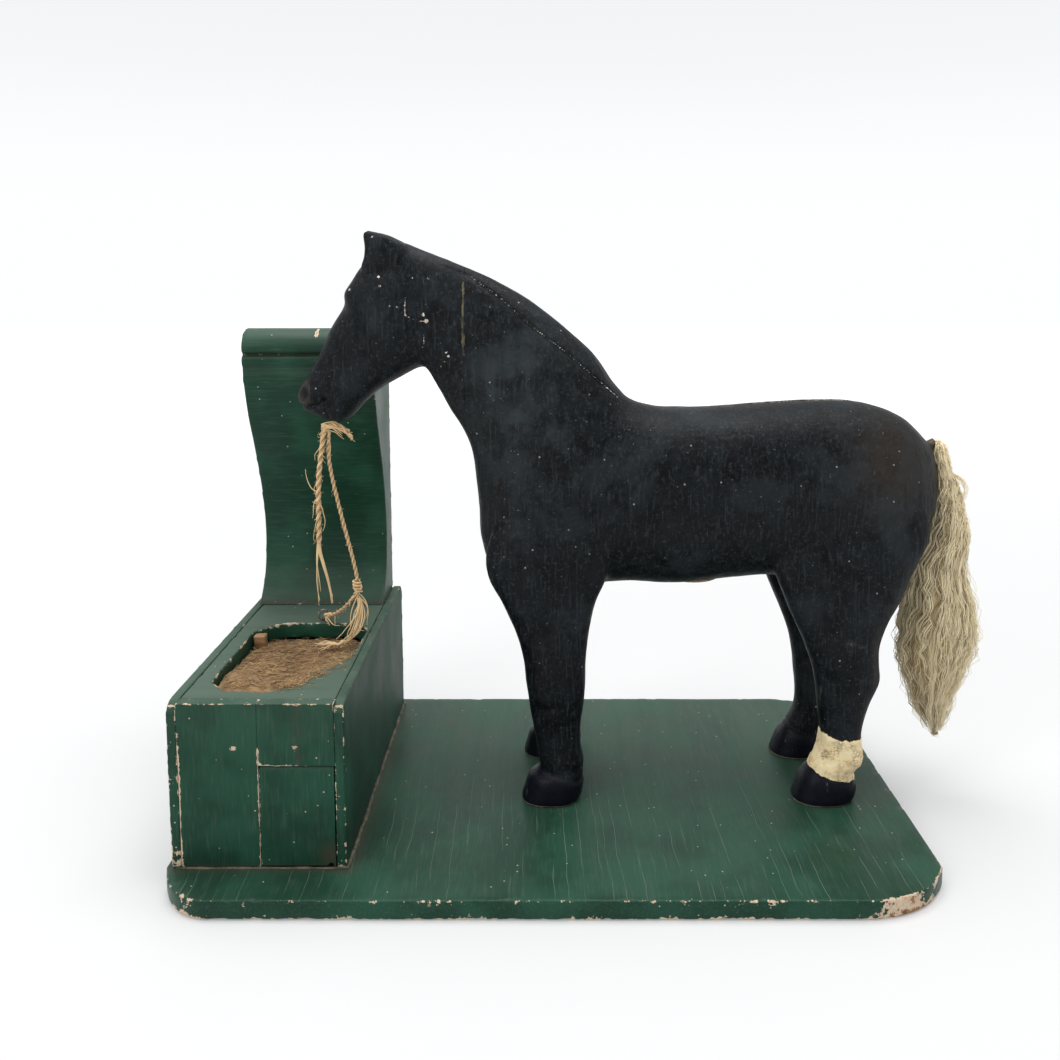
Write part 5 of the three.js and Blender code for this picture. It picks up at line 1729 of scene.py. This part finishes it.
    # the frayed end opens into a thick tail and a few thin ones, with stray fibres on the way down
    foot = [FRAYED_DROP[-1], (-131.9, 4.1, 143), (-130.2, 4, 136), (-128.2, 3.9, 128), (-126.6, 3.8, 120.5)]
    tails = []
    for _ in range(6):
        ragged = np.array(foot) + rng.normal(0, 0.3, 3) + rng.normal(0, 0.16, (5, 3))
        ragged[0] += (0, 0, 4)
        tails.append(even_route(np.vstack([ragged, ragged[-1:] + (0.9, 0, -rng.uniform(3, 8))]), 0.9))
    for _ in range(4):
        end = (-133.1 + rng.normal(0, 0.5), 3.6 + rng.normal(0, 0.6), rng.uniform(111, 120))
        start = np.array(FRAYED_DROP[-1]) + rng.normal(0, 0.4, 3) + (0, 0, 3)
        tails.append(strand(start, end, (-1.3, 0, 0), rng, 13, 0.5))
    thin_ends = fibres("twine_thin_ends", tails, [0.5, 0.46, 0.5, 0.42, 0.46, 0.4, 0.32, 0.3, 0.26, 0.3])
    stray_fibres = stray_set("twine_strays", [
        ((-130.2, 2.2, 203), (-133.4, 1.5, 196), (-0.6, 0, 0.6), 9, 0.5),
        ((-131.6, 2.0, 178), (-138.2, 1.2, 190.5), (-1.4, 0, -3), 11, 0.5),
        ((-131.8, 2.4, 176), (-135.6, 1.5, 163), (-0.6, 0, 1), 9, 0.5),
        ((-131.2, 2.2, 186), (-133.6, 1.6, 176), (-1.2, 0, 0), 9, 0.5),
        ((-131.6, 2.6, 172), (-129.8, 2.2, 156), (1.8, 0, 0), 11, 0.5),
        ((-132.0, 2.8, 164), (-134.6, 2.2, 150), (-1.2, 0, 0), 11, 0.5),
    ], [0.28, 0.3, 0.26, 0.24, 0.34, 0.28])

    lip_ends = []
    for _ in range(9):
        end = (-113.2 + rng.uniform(-1, 1), 7.4, 206 + rng.uniform(-1.5, 2))
        lip_ends.append(strand((-117.4, 7, 211.8), end, (1, 0, 0), rng))
    for _ in range(14):
        start = (rng.uniform(-130, -125), rng.uniform(3, 6), rng.uniform(213, 216.6))
        end = (rng.uniform(-119, -113.5), rng.uniform(5, 9), rng.uniform(207.5, 214))
        lip_ends.append(strand(start, end, (0, -0.6, rng.normal(0.8, 0.6)), rng, 9, 0.5))
    lip_frays = fibres("twine_frays_lip", lip_ends, [0.3] * 9 + [0.42] * 14)


# ---------------------------------------------------------------- CAD parts that keep their shape
def finish_cad_parts(iron, wood, stained):
    for name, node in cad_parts.items():
        if node.hide_render:
            continue
        metal = name.startswith(("hoof_screw", "front_nail", "door_pivot", "hitching"))
        node.data.materials.clear()
        node.data.materials.append(iron if metal else stained if name == "tail_peg" else wood)
        bevel = node.modifiers.new("soft_edges", "BEVEL")
        bevel.width = 0.0002 if metal else 0.0005
        bevel.segments = 2
        bevel.limit_method = "ANGLE"
        bevel.angle_limit = math.radians(40)
        node.data.polygons.foreach_set("use_smooth", [True] * len(node.data.polygons))
        weighted = node.modifiers.new("even_normals", "WEIGHTED_NORMAL")
        weighted.keep_sharp = True


# ---------------------------------------------------------------- floor and light
def make_world():
    """A bright ceiling, a white wall behind the bank, and a dim room in front, paler near the floor."""
    world = bpy.data.worlds.new("studio")
    bpy.context.scene.world = world
    world.use_nodes = True
    nodes = Nodes(world.node_tree)
    _, y, z = nodes.axes(nodes.node("TexCoord").outputs["Generated"])
    ceiling = nodes.plus(nodes.ramp(z, 0.25, 0.9, 0.26, 0.9), nodes.ramp(z, 0.06, 0.26, 0.42, 0))
    upright_fade = nodes.times(nodes.ramp(z, 0.3, 0.6, 1, 0), nodes.ramp(z, 0.06, 0.26, 0.34, 0.66))
    wall = nodes.times(nodes.ramp(y, -0.1, 0.35), upright_fade)
    background = world.node_tree.nodes["Background"]
    nodes.put(background.inputs["Strength"], nodes.plus(ceiling, wall))
    nodes.put(background.inputs["Color"], (0.97, 0.985, 1.0))
    bpy.context.scene.view_settings.view_transform = "Standard"
    bpy.context.scene.view_settings.look = "None"


def make_floor():
    """A white floor that glows more the farther it is from the bank, so that its edge isn't seen."""
    material = bpy.data.materials.new("studio_floor")
    material.use_nodes = True
    nodes = Nodes(material.node_tree)
    place = nodes.node("TexCoord").outputs["Object"]
    distance = nodes.node("VectorMath", operation="LENGTH", Vector=place).outputs["Value"]
    surface = material.node_tree.nodes["Principled BSDF"]
    for label, value in (
        ("Base Color", (0.55, 0.55, 0.55)), ("Roughness", 0.9), ("Emission Color", (1.0, 1.0, 1.0)),
        ("Emission Strength", nodes.ramp(distance, 0.3, 2.4, 0.22, 0.72)),
    ):
        nodes.put(surface.inputs[label], value)
    mesh = bpy.data.meshes.new("studio_floor")
    size = 6.0
    corners = [(-size, -size, 0), (size, -size, 0), (size, size, 0), (-size, size, 0)]
    mesh.from_pydata(corners, [], [(0, 1, 2, 3)])
    mesh.materials.append(material)
    floor = bpy.data.objects.new("studio_floor", mesh)
    floor.location.z = -0.0005
    bpy.context.scene.collection.objects.link(floor)


def area_light(name, place, aim, size, watts):
    data = bpy.data.lights.new(name, "AREA")
    data.shape = "RECTANGLE"
    data.size, data.size_y = size
    data.energy = watts
    light = bpy.data.objects.new(name, data)
    bpy.context.scene.collection.objects.link(light)
    turn = Vector(np.subtract(aim, place)).to_track_quat("-Z", "Y")
    light.matrix_world = Matrix.Translation(place) @ turn.to_matrix().to_4x4()


# ---------------------------------------------------------------- everything together
make_camera()
make_twine(fibre("twine_fibre", (0.82, 0.60, 0.33), (0.34, 0.18, 0.065), 0.75, (1, 1, 0.25), 1500, 0.25))
make_world()
make_floor()
area_light("light_top", (0.05, 0.1, 1.6), (0, 0, 0.1), (1.4, 1.0), 19)
area_light("light_front_left", (-1.1, -1.2, 1.0), (0, 0, 0.12), (0.9, 0.9), 9)

pine = raw_wood("pine_bare", 0)
make_platform(green_paint("green_platform", 1, dusty=0.12, crazed=True))
make_manger(green_paint("green_upright", 2, dusty=0.5, dull=0.2))
make_top_board(green_paint("green_top", 0, dusty=0.6, dull=0.1), pine)
make_back_board(green_paint("green_back", 0, dusty=0.22, dull=0.04))
make_glue_bead(foot_grime())
make_horse(black_paint(), pine)
make_tail(fibre("horse_hair", (1.0, 0.87, 0.57), (0.34, 0.24, 0.10), 0.7, (1, 1, 0.06), 900, 0.4))
make_hay(fibre("hay_straw", (0.52, 0.34, 0.155), (0.14, 0.075, 0.033), 0.9, (0.3, 1, 1), 700, 0.15))
finish_cad_parts(
    aged_iron(),
    raw_wood("pine_plug", 1, (0.35, 0.22, 0.11), (0.16, 0.09, 0.045)),
    raw_wood("pine_peg", 0, (0.10, 0.07, 0.04), (0.05, 0.035, 0.02)),
)
